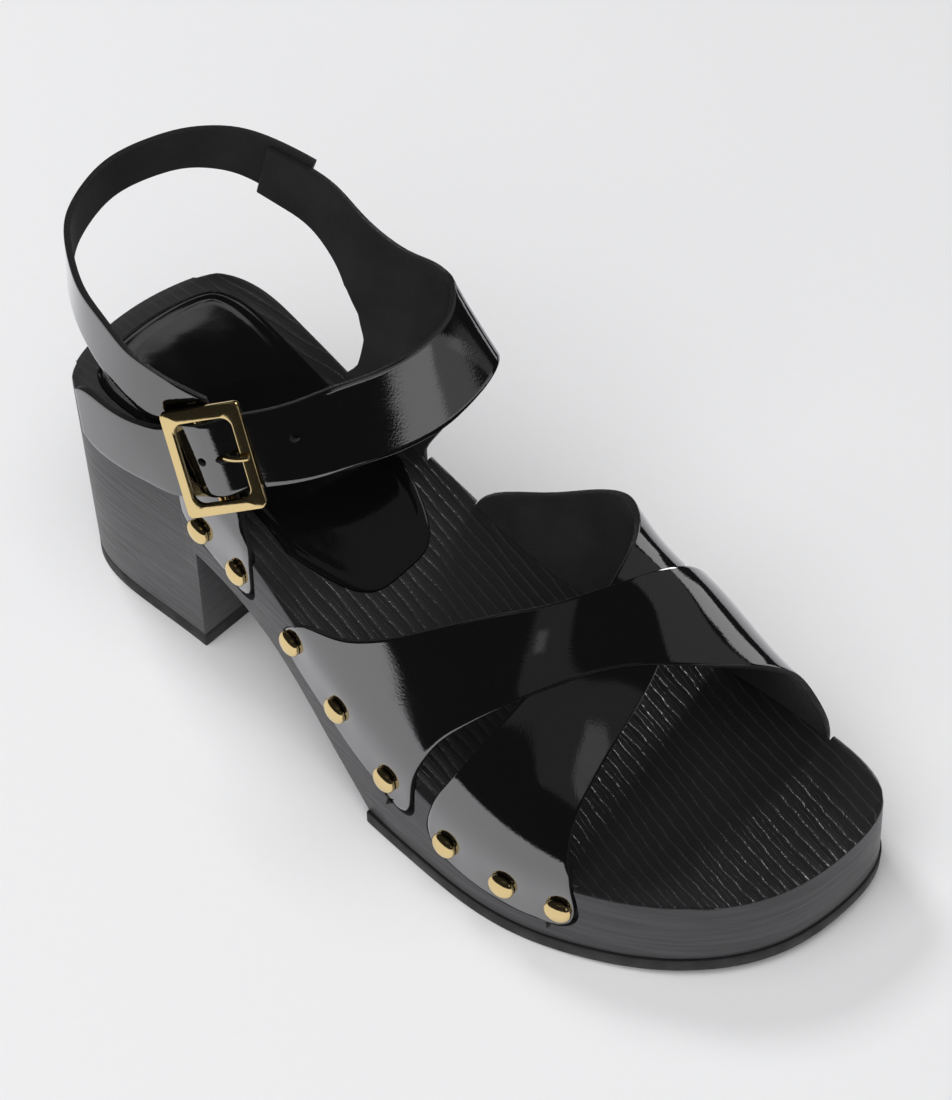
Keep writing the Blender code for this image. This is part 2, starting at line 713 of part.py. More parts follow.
def ankle_surface(rows):
    """Sheet ruled between the smooth lower and upper edges, and the column of each row."""
    lower, upper, _tabs = zip(*rows)
    lengths = (chord_lengths(lower) + chord_lengths(upper)) / 2
    low_edge, high_edge = monotone(lengths, lower), monotone(lengths, upper)
    stations, row_columns = [], []
    for start, end in zip(lengths[:-1], lengths[1:]):
        row_columns.append(len(stations))
        cells = max(1, round((end - start) / LEATHER_CELL))
        stations += [mix(start, end, k / cells) for k in range(cells)]
    row_columns.append(len(stations))
    stations.append(lengths[-1])

    def surface(column, v):
        return mix(low_edge(stations[column]), high_edge(stations[column]), v)

    return surface, row_columns


def tab_points(start, share, side):
    """Way down a tab from a point of the sheet's lower edge to the tab's rounded end."""
    rear, front = QUARTER_FOOT[side]
    rim = wall_point(mix(rear, front, share), side, 0.0)
    points = [mix(start, rim, down) for down in TAB_SHARES]
    for row in TAB_ROWS:
        depth = TAB_DEPTH[side] * row
        inset = corner_inset(TAB_DEPTH[side] - depth, CORNER_RADIUS)
        points.append(wall_point(mix(rear + inset, front - inset, share), side, depth))
    return points


def hang_tab(sheet, top, side):
    """Tab drawn down from the sheet's lower edge into its recess in the side wall."""
    ways = {}
    for k, vert in enumerate(top):
        share = k / (len(top) - 1)
        ways[vert] = tab_points(np.array(vert.co / MM + CENTRE), share, side)
    edges = [sheet.edges.get(pair) for pair in zip(top[:-1], top[1:])]
    for step in range(len(TAB_SHARES) + len(TAB_ROWS)):
        geometry = bmesh.ops.extrude_edge_only(sheet, edges=edges)["geom"]
        fresh = {part for part in geometry if isinstance(part, bmesh.types.BMVert)}
        for vert in fresh:
            neighbours = {edge.other_vert(vert) for edge in vert.link_edges}
            above = (neighbours - fresh).pop()
            ways[vert] = ways[above]
            vert.co = (Vector(ways[vert][step]) - CENTRE) * MM
        drawn = [part for part in geometry if isinstance(part, bmesh.types.BMEdge)]
        edges = [edge for edge in drawn if set(edge.verts) <= fresh]


def make_ankle_straps():
    """Ankle strap, quarters and heel strap as one run of leather, with the prong's hole."""
    rows = ankle_rows()
    surface, row_columns = ankle_surface(rows)
    columns = row_columns[-1]
    sheet = bmesh.new()
    bmesh.ops.create_grid(sheet, x_segments=columns, y_segments=ANKLE_CELLS, size=0.5)
    lower_edge = {}
    for vert in sheet.verts:
        column = round((vert.co.x + 0.5) * columns)
        v = vert.co.y + 0.5
        if v < 0.5 / ANKLE_CELLS:
            lower_edge[column] = vert
        vert.co = (Vector(surface(column, v)) - CENTRE) * MM
    for side in (LATERAL, MEDIAL):
        tab = [column for column, row in zip(row_columns, rows) if row.tab == side]
        top = [lower_edge[column] for column in range(tab[0], tab[-1] + 1)]
        top.sort(key=lambda vert: vert.co.x)
        hang_tab(sheet, top, side)
    bmesh.ops.triangulate(sheet, faces=sheet.faces[:])
    mesh = bpy.data.meshes.new("ankle_straps")
    sheet.to_mesh(mesh)
    sheet.free()
    straps = add_object("ankle_straps", mesh, PARTS, PATENT_FINISH)
    leather = straps.modifiers.new("Leather", "SOLIDIFY")
    leather.thickness = LEATHER * MM
    leather.offset = -1
    slot = bmesh.new()
    bmesh.ops.create_cube(slot, size=MM)
    length = PRONG_SLOT_TO - PRONG_SLOT_FROM
    bmesh.ops.scale(slot, verts=slot.verts[:], vec=(PRONG_SLOT_WIDTH, length, PRONG_SLOT_DEPTH))
    slot_mesh = bpy.data.meshes.new("prong_slot")
    slot.to_mesh(slot_mesh)
    slot.free()
    cutter = add_cutter("prong_slot_tool", slot_mesh)
    cutter.matrix_world = buckle_matrix((PRONG_SLOT_FROM + PRONG_SLOT_TO) / 2, 0.0, 0.0)
    boolean(straps, "DIFFERENCE", cutter)
    return straps


# Buckle and studs

def buckle_matrix(along, across, out):
    """World matrix of a piece set in the buckle's axes."""
    place = (buckle_point(along, across, out) - CENTRE) * MM
    axes = Matrix((WIDTH_AXIS, STRAP_AXIS, OUT_AXIS)).transposed()
    return Matrix.Translation(place) @ axes.to_4x4()


def rounded_rectangle(curve, low, high, radius):
    """Closed outline with round corners, added to a flat curve."""
    corners = (
        (high[0], high[1], 0), (low[0], high[1], 90), (low[0], low[1], 180), (high[0], low[1], 270),
    )
    points = []
    for x, y, turn in corners:
        centre_x = x - math.copysign(radius, x - (low[0] + high[0]) / 2)
        centre_y = y - math.copysign(radius, y - (low[1] + high[1]) / 2)
        for k in range(CORNER_STEPS + 1):
            angle = math.radians(turn + 90 * k / CORNER_STEPS)
            points.append((centre_x + radius * math.cos(angle), centre_y + radius * math.sin(angle)))
    outline = curve.splines.new("POLY")
    outline.points.add(len(points) - 1)
    for point, (x, y) in zip(outline.points, points):
        point.co = (x * MM, y * MM, 0, 1)
    outline.use_cyclic_u = True


def make_buckle_frame():
    """Flat rectangular frame with soft edges and a round centre bar across its back."""
    curve = bpy.data.curves.new("buckle_outline", "CURVE")
    curve.dimensions = "2D"
    curve.fill_mode = "BOTH"
    curve.extrude = (FRAME_THICKNESS / 2 - FRAME_EDGE) * MM
    curve.bevel_depth = FRAME_EDGE * MM
    curve.offset = -FRAME_EDGE * MM
    curve.bevel_resolution = 1
    half = FRAME_WIDTH / 2
    rounded_rectangle(curve, (-half, 0), (half, FRAME_LENGTH), OUTER_CORNER)
    inner = half - FRAME_SIDE
    rounded_rectangle(curve, (-inner, FRAME_BAR), (inner, FRAME_LENGTH - FRAME_BAR), INNER_CORNER)
    flat = add_object("buckle_outline", curve, CUTTERS)
    frame_mesh = settled_mesh(flat, "buckle_frame")
    frame = add_object("buckle_frame", frame_mesh, PARTS, GOLD_FINISH)
    frame.matrix_world = buckle_matrix(0.0, 0.0, FRAME_THICKNESS / 2)

    bar = bmesh.new()
    length = (2 * inner + FRAME_SIDE) * MM
    radius = CENTRE_BAR_RADIUS * MM
    bmesh.ops.create_cone(
        bar, segments=CENTRE_BAR_SIDES, radius1=radius, radius2=radius, depth=length, cap_ends=True,
    )
    bmesh.ops.rotate(bar, verts=bar.verts[:], matrix=Matrix.Rotation(math.radians(90), 3, "Y"))
    bar_mesh = bpy.data.meshes.new("centre_bar")
    bar.to_mesh(bar_mesh)
    bar.free()
    bar_tool = add_cutter("centre_bar_tool", bar_mesh)
    bar_tool.matrix_world = buckle_matrix(CENTRE_BAR_AT, 0.0, CENTRE_BAR_DROP)
    boolean(frame, "UNION", bar_tool)
    return frame


def make_buckle_prong():
    """Round prong from the centre bar up through the strap to the frame's front bar."""
    curve = bpy.data.curves.new("buckle_prong", "CURVE")
    curve.dimensions = "3D"
    curve.bevel_depth = PRONG_RADIUS * MM
    curve.bevel_resolution = 2
    curve.use_fill_caps = True
    path = curve.splines.new("POLY")
    path.points.add(len(PRONG_PATH) - 1)
    for point, (along, out) in zip(path.points, PRONG_PATH):
        point.co = (0, along * MM, out * MM, 1)
    prong_mesh = settled_mesh(add_object("prong_path", curve, CUTTERS), "buckle_prong")
    prong = add_object("buckle_prong", prong_mesh, PARTS, GOLD_FINISH)
    prong.matrix_world = buckle_matrix(0.0, 0.0, 0.0)
    return prong


def stud_mesh():
    """Domed nail head turned from its profile."""
    profile = []
    for k in range(STUD_STEPS + 1):
        angle = math.radians(90 - 90 * k / STUD_STEPS)
        dome = (STUD_HEIGHT - STUD_EDGE) * math.sin(angle)
        profile.append((STUD_RADIUS * math.cos(angle), STUD_EDGE + dome))
    profile += [(STUD_RADIUS, 0.0), (0.0, 0.0)]
    mesh = bpy.data.meshes.new("stud_profile")
    points = [(radius * MM, 0, height * MM) for radius, height in profile]
    mesh.from_pydata(points, [(k, k + 1) for k in range(len(points) - 1)], [])
    turned = add_object("stud_profile", mesh, CUTTERS)
    screw = turned.modifiers.new("Turn", "SCREW")
    screw.steps = screw.render_steps = STUD_SIDES
    screw.use_merge_vertices = True
    screw.merge_threshold = 0.00001
    return settled_mesh(turned, "stud")


def leather_front(x, side, depth):
    """Outer face of the leather where a stud sits, and the way it faces."""
    foot = wall_point(x, side, depth)
    along = wall_point(x + 1, side, depth) - wall_point(x - 1, side, depth)
    facing = np.cross(along, (0, 0, 1)) * -side
    facing = facing / np.linalg.norm(facing)
    return Vector(foot + facing * (LEATHER + GAP)), Vector(facing)


def make_studs():
    """One domed stud at each place of the table, on the strap ends."""
    dome = stud_mesh()
    counts = {LATERAL: 0, MEDIAL: 0}
    labels = {LATERAL: "lateral", MEDIAL: "medial"}
    for side, x, depth in STUDS:
        counts[side] += 1
        point, facing = leather_front(x, side, depth)
        name = f"stud_{labels[side]}_{counts[side]}"
        stud = add_object(name, dome.copy(), PARTS, GOLD_FINISH)
        stud.data.name = name
        turn = facing.to_track_quat("Z", "Y").to_matrix().to_4x4()
        stud.matrix_world = Matrix.Translation((point - CENTRE) * MM) @ turn


def shade_parts():
    """Smooth shading with crisp edges on every part."""
    for item in PARTS.objects:
        item.data.shade_smooth()
        item.data.set_sharp_from_angle(angle=SHARP_ANGLE)


clear_scene()
PARTS = new_collection("patent_leather_sandal")
CUTTERS = new_collection("cutters")
SOLE_FINISH = new_material("black_wood_grain", (0.012, 0.012, 0.013), 0.42)
RUBBER_FINISH = new_material("black_rubber", (0.014, 0.014, 0.014), 0.6)
SOCK_FINISH = new_material("black_sock", (0.008, 0.008, 0.009), 0.18)
PATENT_FINISH = new_material("black_patent_leather", (0.004, 0.004, 0.005), 0.06)
GOLD_FINISH = new_material("pale_gold", (0.83, 0.66, 0.34), 0.18, 1.0)

clog_sole = make_clog_sole()
make_forefoot_outsole()
make_heel_lift()
make_heel_sock(clog_sole)
make_vamp_straps()
make_ankle_straps()
cut_recesses(clog_sole)
make_buckle_frame()
make_buckle_prong()
make_studs()
shade_parts()
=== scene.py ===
"""Black clog sandal with crossed patent straps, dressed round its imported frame.

Tables are in millimetres, measured on the shoe: x runs from the back of the heel to the toe,
y towards the inner (medial) side of the foot and z up from the floor.
"""
import math
from collections import namedtuple

import bpy
import numpy as np
from mathutils import Matrix, Vector


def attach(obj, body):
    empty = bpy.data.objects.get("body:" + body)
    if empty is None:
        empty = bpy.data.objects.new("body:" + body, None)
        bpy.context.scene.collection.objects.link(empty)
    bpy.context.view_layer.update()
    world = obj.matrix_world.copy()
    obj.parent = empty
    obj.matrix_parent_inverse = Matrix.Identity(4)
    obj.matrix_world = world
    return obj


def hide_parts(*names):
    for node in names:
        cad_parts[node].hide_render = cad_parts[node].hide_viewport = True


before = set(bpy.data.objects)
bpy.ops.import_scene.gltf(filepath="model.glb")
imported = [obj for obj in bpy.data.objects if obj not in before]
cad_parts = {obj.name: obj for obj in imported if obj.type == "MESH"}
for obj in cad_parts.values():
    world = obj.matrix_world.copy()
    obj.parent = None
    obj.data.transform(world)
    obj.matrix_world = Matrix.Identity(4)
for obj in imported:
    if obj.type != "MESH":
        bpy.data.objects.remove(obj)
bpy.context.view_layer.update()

bl_info = {
    "name": "Patent Leather Sandal",
    "version": (1, 0, 0),
    "blender": (4, 5, 0),
    "location": "View3D > Sidebar > Sandal",
    "description": "Models a black clog sandal round its packed frame",
    "category": "Object",
}

MM = 0.001
GAP = 0.3
LATERAL, MEDIAL = -1, 1
SIDE_NAMES = {LATERAL: "lateral", MEDIAL: "medial"}
CENTRE = np.array((129.78, 1.597, 0.0))

# Sole sizes and tables, as in the part
OUTSOLE_THICKNESS, LIFT_THICKNESS = 4.5, 5.0
OUTSOLE_START = 140.5
BREAST_FOOT, BREAST_TOP = 61.8, 63.3
SPRING_START, SPRING_END, TOE_SPRING = 185.0, 258.0, 4.9
FOOTBED_DISH, DISH_POWER, OUTSOLE_LEDGE = 1.6, 4, 1.8
SOLE_OUTLINE = (
    (-0.3, 3.0), (2.2, -14.5), (8.5, -25.5), (20.0, -31.0), (36.0, -32.4), (62.1, -32.6),
    (94.6, -36.3), (130.0, -42.3), (160.5, -45.2), (190.0, -45.1), (216.7, -36.9),
    (237.8, -23.9), (253.1, -3.7), (257.9, 17.9), (255.0, 37.0), (225.6, 48.1),
    (190.0, 47.7), (149.7, 37.2), (109.9, 30.3), (69.9, 29.0), (40.0, 33.4),
    (20.0, 35.6), (8.5, 31.8), (2.2, 21.0),
)
HEEL_LATERAL, TOE_LATERAL, TOE_MEDIAL, HEEL_MEDIAL = 2, 11, 14, 22
OUTLINE_SAMPLES = 300
FOOTBED_RISE = (
    (0, 73.0), (20, 74.0), (40, 74.5), (55, 73.8), (66, 72.0), (80, 67.5), (105, 57.0),
    (130, 44.0), (150, 35.5), (175, 29.5), (200, 28.0), (230, 29.0), (258, 32.0),
)
WAIST_ARCH = ((63.3, 44.0), (80, 41.5), (100, 35.3), (115, 26.0), (129, 14.5), (141, 4.8))
WALL_FLARE = ((0, -1.5), (61.8, -1.5), (63.3, 0.0), (130, 0.5), (150, 1.2), (258, 1.2))
SOLE_STATIONS = (
    8.5, 16, 26, 37, 49, BREAST_FOOT, BREAST_TOP, 74, 85, 96, 107, 118, 129, OUTSOLE_START,
    152, 163, 174, 185, 196, 207,
)
TOE_COLUMNS, END_FADE = 4, 5
NUDGE = 0.01

# Mesh of the sole, and the faces that are its footbed, breast and walls
SOLE_CELL, SOLE_ROWS, SOLE_BORDER = 2.2, 207, 0.035
SHARP_EDGE, RIM_NEAR = 50.0, 1.0
GRAIN_SAMPLES, GRAIN_CHUNK = 700, 4000
UPWARDS, BREAST_FACING = 0.6, 0.9
BREAST_HEIGHT, SEAM_JUMP = 40.0, 100.0

# Grain of the footbed: it turns towards the lateral side at the toe, and sways in waves
GRAIN_BEND, GRAIN_BEND_FROM, GRAIN_BEND_TO = 16.5, 120.0, 205.0
GrainWave = namedtuple("GrainWave", "reach along across start")
GRAIN_WAVES = (
    GrainWave(0.9, 31.0, 17.0, 0.0), GrainWave(0.4, 12.5, -11.0, 1.3),
    GrainWave(0.26, 4.4, 2.9, 0.0), GrainWave(0.14, 2.4, -0.7692, 0.0),
)
RIB_WIDTH, RIB_MEAN = 0.5, 0.4
RIB_FACING, RIB_NEAR = 0.75, 0.6
RIM_FADE, HEEL_FADE = (1.0, 4.0), (10.0, 32.0)
SMOOTH_CORNER_ALONG, SMOOTH_CORNER_ACROSS = (197.0, 222.0), (8.0, 15.0)
CORNER_LINES_FADE = 50.0, 61.0
FOOTBED_NEAR = 1.0

# Rubber treads: wavy grooves, kept away from the edges
TREAD_CELL, TREAD_ROWS, TREAD_BORDER = 1.3, 60, 0.04
TREAD_CLEARANCE, TREAD_ROUNDING = 0.05, 0.5
FOREFOOT_GROOVE, HEEL_GROOVE = 0.9, 0.7
GROOVE_PITCH, GROOVE_WAVE, GROOVE_WAVE_LENGTH = 6.5, 2.2, 4.5
GROOVE_WALL, GROOVE_SIDE_FADE, GROOVE_END_FADE = (0.72, 0.9), (0.08, 0.11), (0.4, 0.7)

# Heel sock
SOCK_INSET, SOCK_SUNK, SOCK_PROUD = 7.5, 0.9, 0.7
SOCK_CELL, SOCK_ROWS = 1.4, 56
POCKET_CELL, POCKET_ROWS = 3.0, 24
SOCK_CROWN, SOCK_CROWN_REACH = 0.55, 16.0
SOCK_BORDER_DEPTH, SOCK_BORDER_AT, SOCK_BORDER_WIDTH = 0.34, 3.4, 0.9
SOCK_EDGE_DROP, SOCK_EDGE_REACH, SOCK_EDGE_ROUNDING = 0.55, 1.9, 0.25
SOCK_FRONT_COLUMNS = (72.0, 82.0, 92.0)
SOCK_TIP, SOCK_NOSE_FROM, SOCK_NOSE_POWER = 114.5, 0.35, 4
SOCK_DRAWN_IN, SOCK_DRAWN_FROM = 3.5, 40.0

# Leather and the recesses for its ends
LEATHER = 2.0
RECESS, NOTCH_MARGIN, RECESS_RISE, RECESS_CELLS = 2.0, 0.25, 6.0, 18
FRONT_MARGIN, LEATHER_PROUD, LEATHER_PROUD_FROM = 1.4, 0.15, 4.0
END_DEPTH, CORNER_RADIUS, END_CROWDING = 17.0, 8.0, 1.6
VAMP_LAST = (
    (100, 73.0, 9.0), (120, 72.0, 14.0), (150, 71.0, 28.0), (170, 56.6, 16.0),
    (190, 48.2, 5.0), (210, 36.0, -3.0), (230, 28.0, -4.0),
)
LAST_LEAN = 10.0
LAST_SHOULDERS = 0.55, 1.75
StrapEdge = namedtuple("StrapEdge", "girth rear front")
OVER_STRAP = (
    StrapEdge(-1.0, 100.5, 158.0), StrapEdge(0.0, 110.5, 157.7), StrapEdge(0.1, 126.0, 160.0),
    StrapEdge(0.2, 141.0, 166.6), StrapEdge(0.3, 153.8, 175.4), StrapEdge(0.45, 169.0, 190.0),
    StrapEdge(0.6, 179.0, 205.8), StrapEdge(0.75, 184.3, 216.6), StrapEdge(0.85, 187.0, 221.8),
    StrapEdge(0.92, 188.7, 226.0), StrapEdge(1.0, 190.5, 229.0), StrapEdge(2.0, 191.0, 229.0),
)
UNDER_STRAP = (
    StrapEdge(-1.0, 163.5, 212.5), StrapEdge(0.0, 166.0, 209.0), StrapEdge(0.1, 169.3, 205.4),
    StrapEdge(0.2, 172.3, 202.2), StrapEdge(0.3, 175.2, 201.0), StrapEdge(0.45, 177.3, 199.2),
    StrapEdge(0.6, 174.0, 193.5), StrapEdge(0.7, 169.2, 187.0), StrapEdge(0.78, 161.8, 181.0),
    StrapEdge(0.85, 153.3, 176.0), StrapEdge(0.92, 138.5, 171.5), StrapEdge(1.0, 114.0, 167.0),
    StrapEdge(2.0, 111.0, 166.0),
)
CROSSING = (0.1, 0.28, 0.78, 0.93)
UNDER_BULGE, UNDER_BULGE_AT, UNDER_BULGE_REACH = 1.6, 0.16, 0.16
OVER_CLEARANCE = 0.1
WALL_CELLS, ARCH_CELLS, STRAP_ROWS = 14, 90, 36
STRAP_PASSES, STRAP_PINNED = 6, 6

# Buckle axes and sizes
BUCKLE_FRONT = Vector((82.4, -24.6, 93.4))
STRAP_AXIS = Vector((-0.765, -0.555, -0.315)).normalized()
BUCKLE_LEAN = Vector((-0.44, 0.10, 0.89))
OUT_AXIS = BUCKLE_LEAN.cross(STRAP_AXIS).normalized()
WIDTH_AXIS = STRAP_AXIS.cross(OUT_AXIS)
FRAME_LENGTH, FRAME_WIDTH, FRAME_THICKNESS = 23.0, 31.0, 2.2
FRAME_BAR, FRAME_SIDE = 3.1, 3.6
FRAME_BEND, FRAME_ROLL, FRAME_LIFT = 62.0, 4.5, 0.8
FRAME_ROUNDING, BAR_ROUNDING, BAR_SIDES = 0.6, 0.3, 28
OUTER_CORNER, INNER_CORNER = 1.4, 3.2
CENTRE_BAR_AT, CENTRE_BAR_RADIUS, CENTRE_BAR_DROP = 13.0, 1.1, -0.2
PRONG_RADIUS, PRONG_TIP, PRONG_ROOT = 0.85, 0.8, 0.5
PRONG_TAPER = 1.08, 0.92
PRONG_STEPS, PRONG_SIDES, PRONG_LEAST = 40, 18, 0.02
PRONG_PATH = ((11.3, -0.7), (9.4, 0.2), (7.4, 1.5), (5.4, 2.6), (3.2, 3.3), (1.4, 3.4), (0.2, 3.2))
PRONG_SLOT_FROM, PRONG_SLOT_TO, PRONG_SLOT_WIDTH, PRONG_SLOT_DEPTH = 4.6, 10.6, 2.6, 5.0
HOLES = ((14.7, 0.0), (-10.5, -1.4), (-19.5, -0.5))
HOLE_DEPTH, HOLE_SIDES = 14.0, 24
STRAP_IN_BUCKLE = (
    (25.0, -2.7), (22.0, -2.6), (17.5, -2.6), (15.9, -1.0), (14.7, 0.6), (13.0, 0.9),
    (11.2, 0.8), (9.0, 0.1), (6.8, -1.2), (4.2, -2.4), (0.0, -2.5),
)
ANKLE_WIDTH = 22.0
QUARTER_UNDER_BUCKLE = (
    ((23.2, 2.8, -6.3), (17.3, 22.0, -4.7)), ((19.0, 0.1, -5.3), (13.7, 19.2, -4.8)),
    ((15.1, -0.8, -5.5), (12.5, 18.2, -4.8)), ((11.8, -1.8, -5.5), (11.3, 17.1, -4.8)),
    ((9.2, -3.1, -5.3), (10.0, 16.1, -5.0)),
)

# Rows of the ankle leather: lower edge, upper edge, and the side whose tab hangs from it
Row = namedtuple("Row", "lower upper tab", defaults=(None,))
TAIL_ROWS = (
    Row((34.5, -42.0, 82.4), (32.5, -41.2, 97.4)), Row((37.5, -42.2, 79.4), (35.5, -41.5, 100.2)),
    Row((47.0, -41.4, 77.0), (43.8, -41.0, 98.0)), Row((57.6, -38.8, 75.4), (51.8, -38.8, 95.8)),
)
INSTEP_ROWS = (
    Row((92.0, -16.2, 82.6), (81.6, -13.4, 102.4)), Row((98.2, -4.6, 83.0), (87.4, -0.4, 103.6)),
    Row((103.3, 9.0, 82.0), (91.4, 13.6, 102.0)), Row((107.0, 24.0, 82.9), (93.4, 27.0, 101.9)),
    Row((107.9, 36.5, 86.2), (93.0, 37.0, 102.4)), Row((107.2, 44.6, 88.6), (91.0, 44.0, 103.8)),
)
MEDIAL_ROWS = (
    Row((103.4, 49.8, 90.4), (87.4, 48.2, 106.6), MEDIAL),
    Row((97.0, 46.8, 88.0), (84.0, 49.0, 109.2), MEDIAL),
    Row((88.5, 42.2, 86.2), (79.4, 48.4, 110.4), MEDIAL),
    Row((80.0, 39.0, 86.0), (74.6, 46.8, 110.8), MEDIAL),
    Row((71.6, 36.4, 86.2), (69.6, 45.4, 112.2), MEDIAL),
    Row((62.6, 35.0, 88.2), (64.0, 44.0, 114.8), MEDIAL),
    Row((54.4, 38.2, 97.6), (57.6, 42.7, 118.6)), Row((42.4, 39.9, 105.2), (48.9, 41.5, 124.6)),
)
HEEL_ROWS = (
    Row((30.0, 36.2, 111.0), (35.6, 37.9, 129.0)), Row((19.2, 29.8, 117.4), (20.6, 30.4, 133.0)),
    Row((9.4, 20.2, 119.4), (10.0, 20.8, 132.6)), Row((3.4, 2.0, 119.6), (3.2, 2.0, 132.0)),
    Row((8.8, -17.0, 118.4), (9.4, -17.4, 131.6)), Row((18.6, -27.8, 115.8), (20.4, -28.0, 130.8)),
    Row((30.0, -34.0, 110.0), (34.0, -34.6, 126.4)), Row((42.0, -36.4, 103.6), (46.0, -35.0, 118.4)),
    Row((52.6, -34.8, 95.4), (52.4, -32.0, 111.6)),
)
QUARTER_END = Row((26.1, 34.3, 113.4), (30.2, 35.7, 130.7))
HEEL_STRAP_END = Row((36.3, 38.4, 108.2), (42.3, 40.0, 127.0))
SEAM_LAP, SEAM_EASE, SEAM_SHIFT, SEAM_CLEARANCE = 10.0, 65.0, 1.3, 0.15
INWARDS = {LATERAL: ((3.4, 2.0, 126.0), (1, 0, 0)), MEDIAL: ((96.0, 46.0, 95.0), (0, -1, 0))}
QUARTER_FOOT = {LATERAL: (58.5, 89.0), MEDIAL: (65.5, 96.0)}
TAB_DEPTH = {LATERAL: 20.5, MEDIAL: END_DEPTH}
TAB_SHARES = (0.35, 0.7)
TAB_WAIST = {LATERAL: 0.0, MEDIAL: 4.5}
TAB_ROWS = (0.0, 0.27, 0.53, 0.7, 0.85, 0.95, 1.0)
TAB_CELLS, TAB_FROM_ROW = 26, 3
TAB_CORNER = MEDIAL_ROWS[-3].lower
CORNER_REACH, CORNER_FACTOR, CORNER_REPEATS = 8.0, 0.5, 4
ANKLE_CELL, ANKLE_ROWS, ANKLE_PASSES = 1.5, 16, 10
WELD = 0.02

# Stud places: side of the shoe, x, depth below the rim
STUDS = (
    (LATERAL, 66.5, 15.5), (LATERAL, 83.0, 13.5), (LATERAL, 107.5, 10.0), (LATERAL, 127.5, 9.0),
    (LATERAL, 148.0, 10.5), (LATERAL, 171.5, 11.0), (LATERAL, 191.0, 10.0), (LATERAL, 207.0, 10.0),
    (MEDIAL, 73.5, 9.0), (MEDIAL, 87.0, 9.0), (MEDIAL, 120.0, 9.0), (MEDIAL, 139.0, 9.0),
    (MEDIAL, 158.0, 9.0), (MEDIAL, 198.0, 9.0), (MEDIAL, 210.0, 9.0), (MEDIAL, 222.0, 9.0),
)
DIMPLE_RADIUS, DIMPLE_DEPTH, STUD_SUNK = 5.5, 0.5, 0.45
STUD_FOOT, STUD_SKIRT, STUD_TURNED_IN = 0.5, 0.6, 0.96
STUD_SIDES, STUD_RINGS, STUD_UNDERSIDE = 36, 24, -0.9

# Rounding of small edges: segments, and how sharp an edge is rounded
ROUNDING_SEGMENTS, ROUNDED_ANGLE = 2, 60
RIM_SEGMENTS, FRAME_SEGMENTS, BAR_SEGMENTS, PLATE_SEGMENTS = 3, 4, 3, 8
CRISP, CRISP_GOLD, CRISP_PRONG = 40, 50, 60

# Studio in metres, and the cards' angles in degrees: azimuth from the toe to the medial side
Card = namedtuple("Card", "name azimuth elevation width height radiance")
CARDS = (
    Card("side_box", -52, 53, 44, 16, 0.055), Card("side_spot", -54, 49.5, 9, 4, 0.16),
    Card("toe_card", 75, 18, 20, 18, 0.9), Card("toe_high", 58, 46, 50, 32, 0.11),
    Card("front_low", 15, 19, 40, 6, 0.6), Card("front_high", 17, 27, 34, 10, 0.25),
    Card("window", 146, 30, 26, 12, 0.8), Card("sparkle", 96, 24, 10, 18, 9.0),
)
CARD_DISTANCE = 1.5
CARD_AIM = Vector((0.0, 0.0, 0.05))
KEY_PLACE, KEY_SIZE = (-1.55, 0.32, 1.75), (0.6, 0.6)
FILL_PLACE, FILL_SIZE = (0.4, -1.1, 2.4), (3.2, 3.2)
FLOOR_SIZE, FLOOR_CELLS = 3.2, 12
ROOM_COLOUR = 0.95, 0.96, 1.0, 1.0
SENSOR_WIDTH = 36.0


# Sizes and colours that a user would change

class SandalSizes(bpy.types.PropertyGroup):
    """Sizes of the sandal's visible detail"""

    leather: bpy.props.FloatProperty(
        name="Leather", description="Thickness of the straps", default=LEATHER * MM, unit="LENGTH")
    edge_rounding: bpy.props.FloatProperty(
        name="Edge rounding", description="Rounding of the cut leather edges",
        default=0.0003, unit="LENGTH")
    rim_rounding: bpy.props.FloatProperty(
        name="Rim rounding", description="Rounding of the footbed's rim", default=0.0011, unit="LENGTH")
    foot_rounding: bpy.props.FloatProperty(
        name="Foot rounding", description="Rounding of the sole's lower edges",
        default=0.0003, unit="LENGTH")
    rib_pitch: bpy.props.FloatProperty(
        name="Rib pitch", description="Distance between the footbed's grain ribs",
        default=0.0034, unit="LENGTH")
    rib_depth: bpy.props.FloatProperty(
        name="Rib height", description="Height of the footbed's grain ribs",
        default=0.00014, unit="LENGTH")
    stud_radius: bpy.props.FloatProperty(
        name="Stud radius", description="Radius of a domed stud", default=0.004, unit="LENGTH")
    stud_height: bpy.props.FloatProperty(
        name="Stud height", description="Height of a domed stud", default=0.0026, unit="LENGTH")
    hole_radius: bpy.props.FloatProperty(
        name="Hole radius", description="Radius of the strap's punched holes",
        default=0.0013, unit="LENGTH")


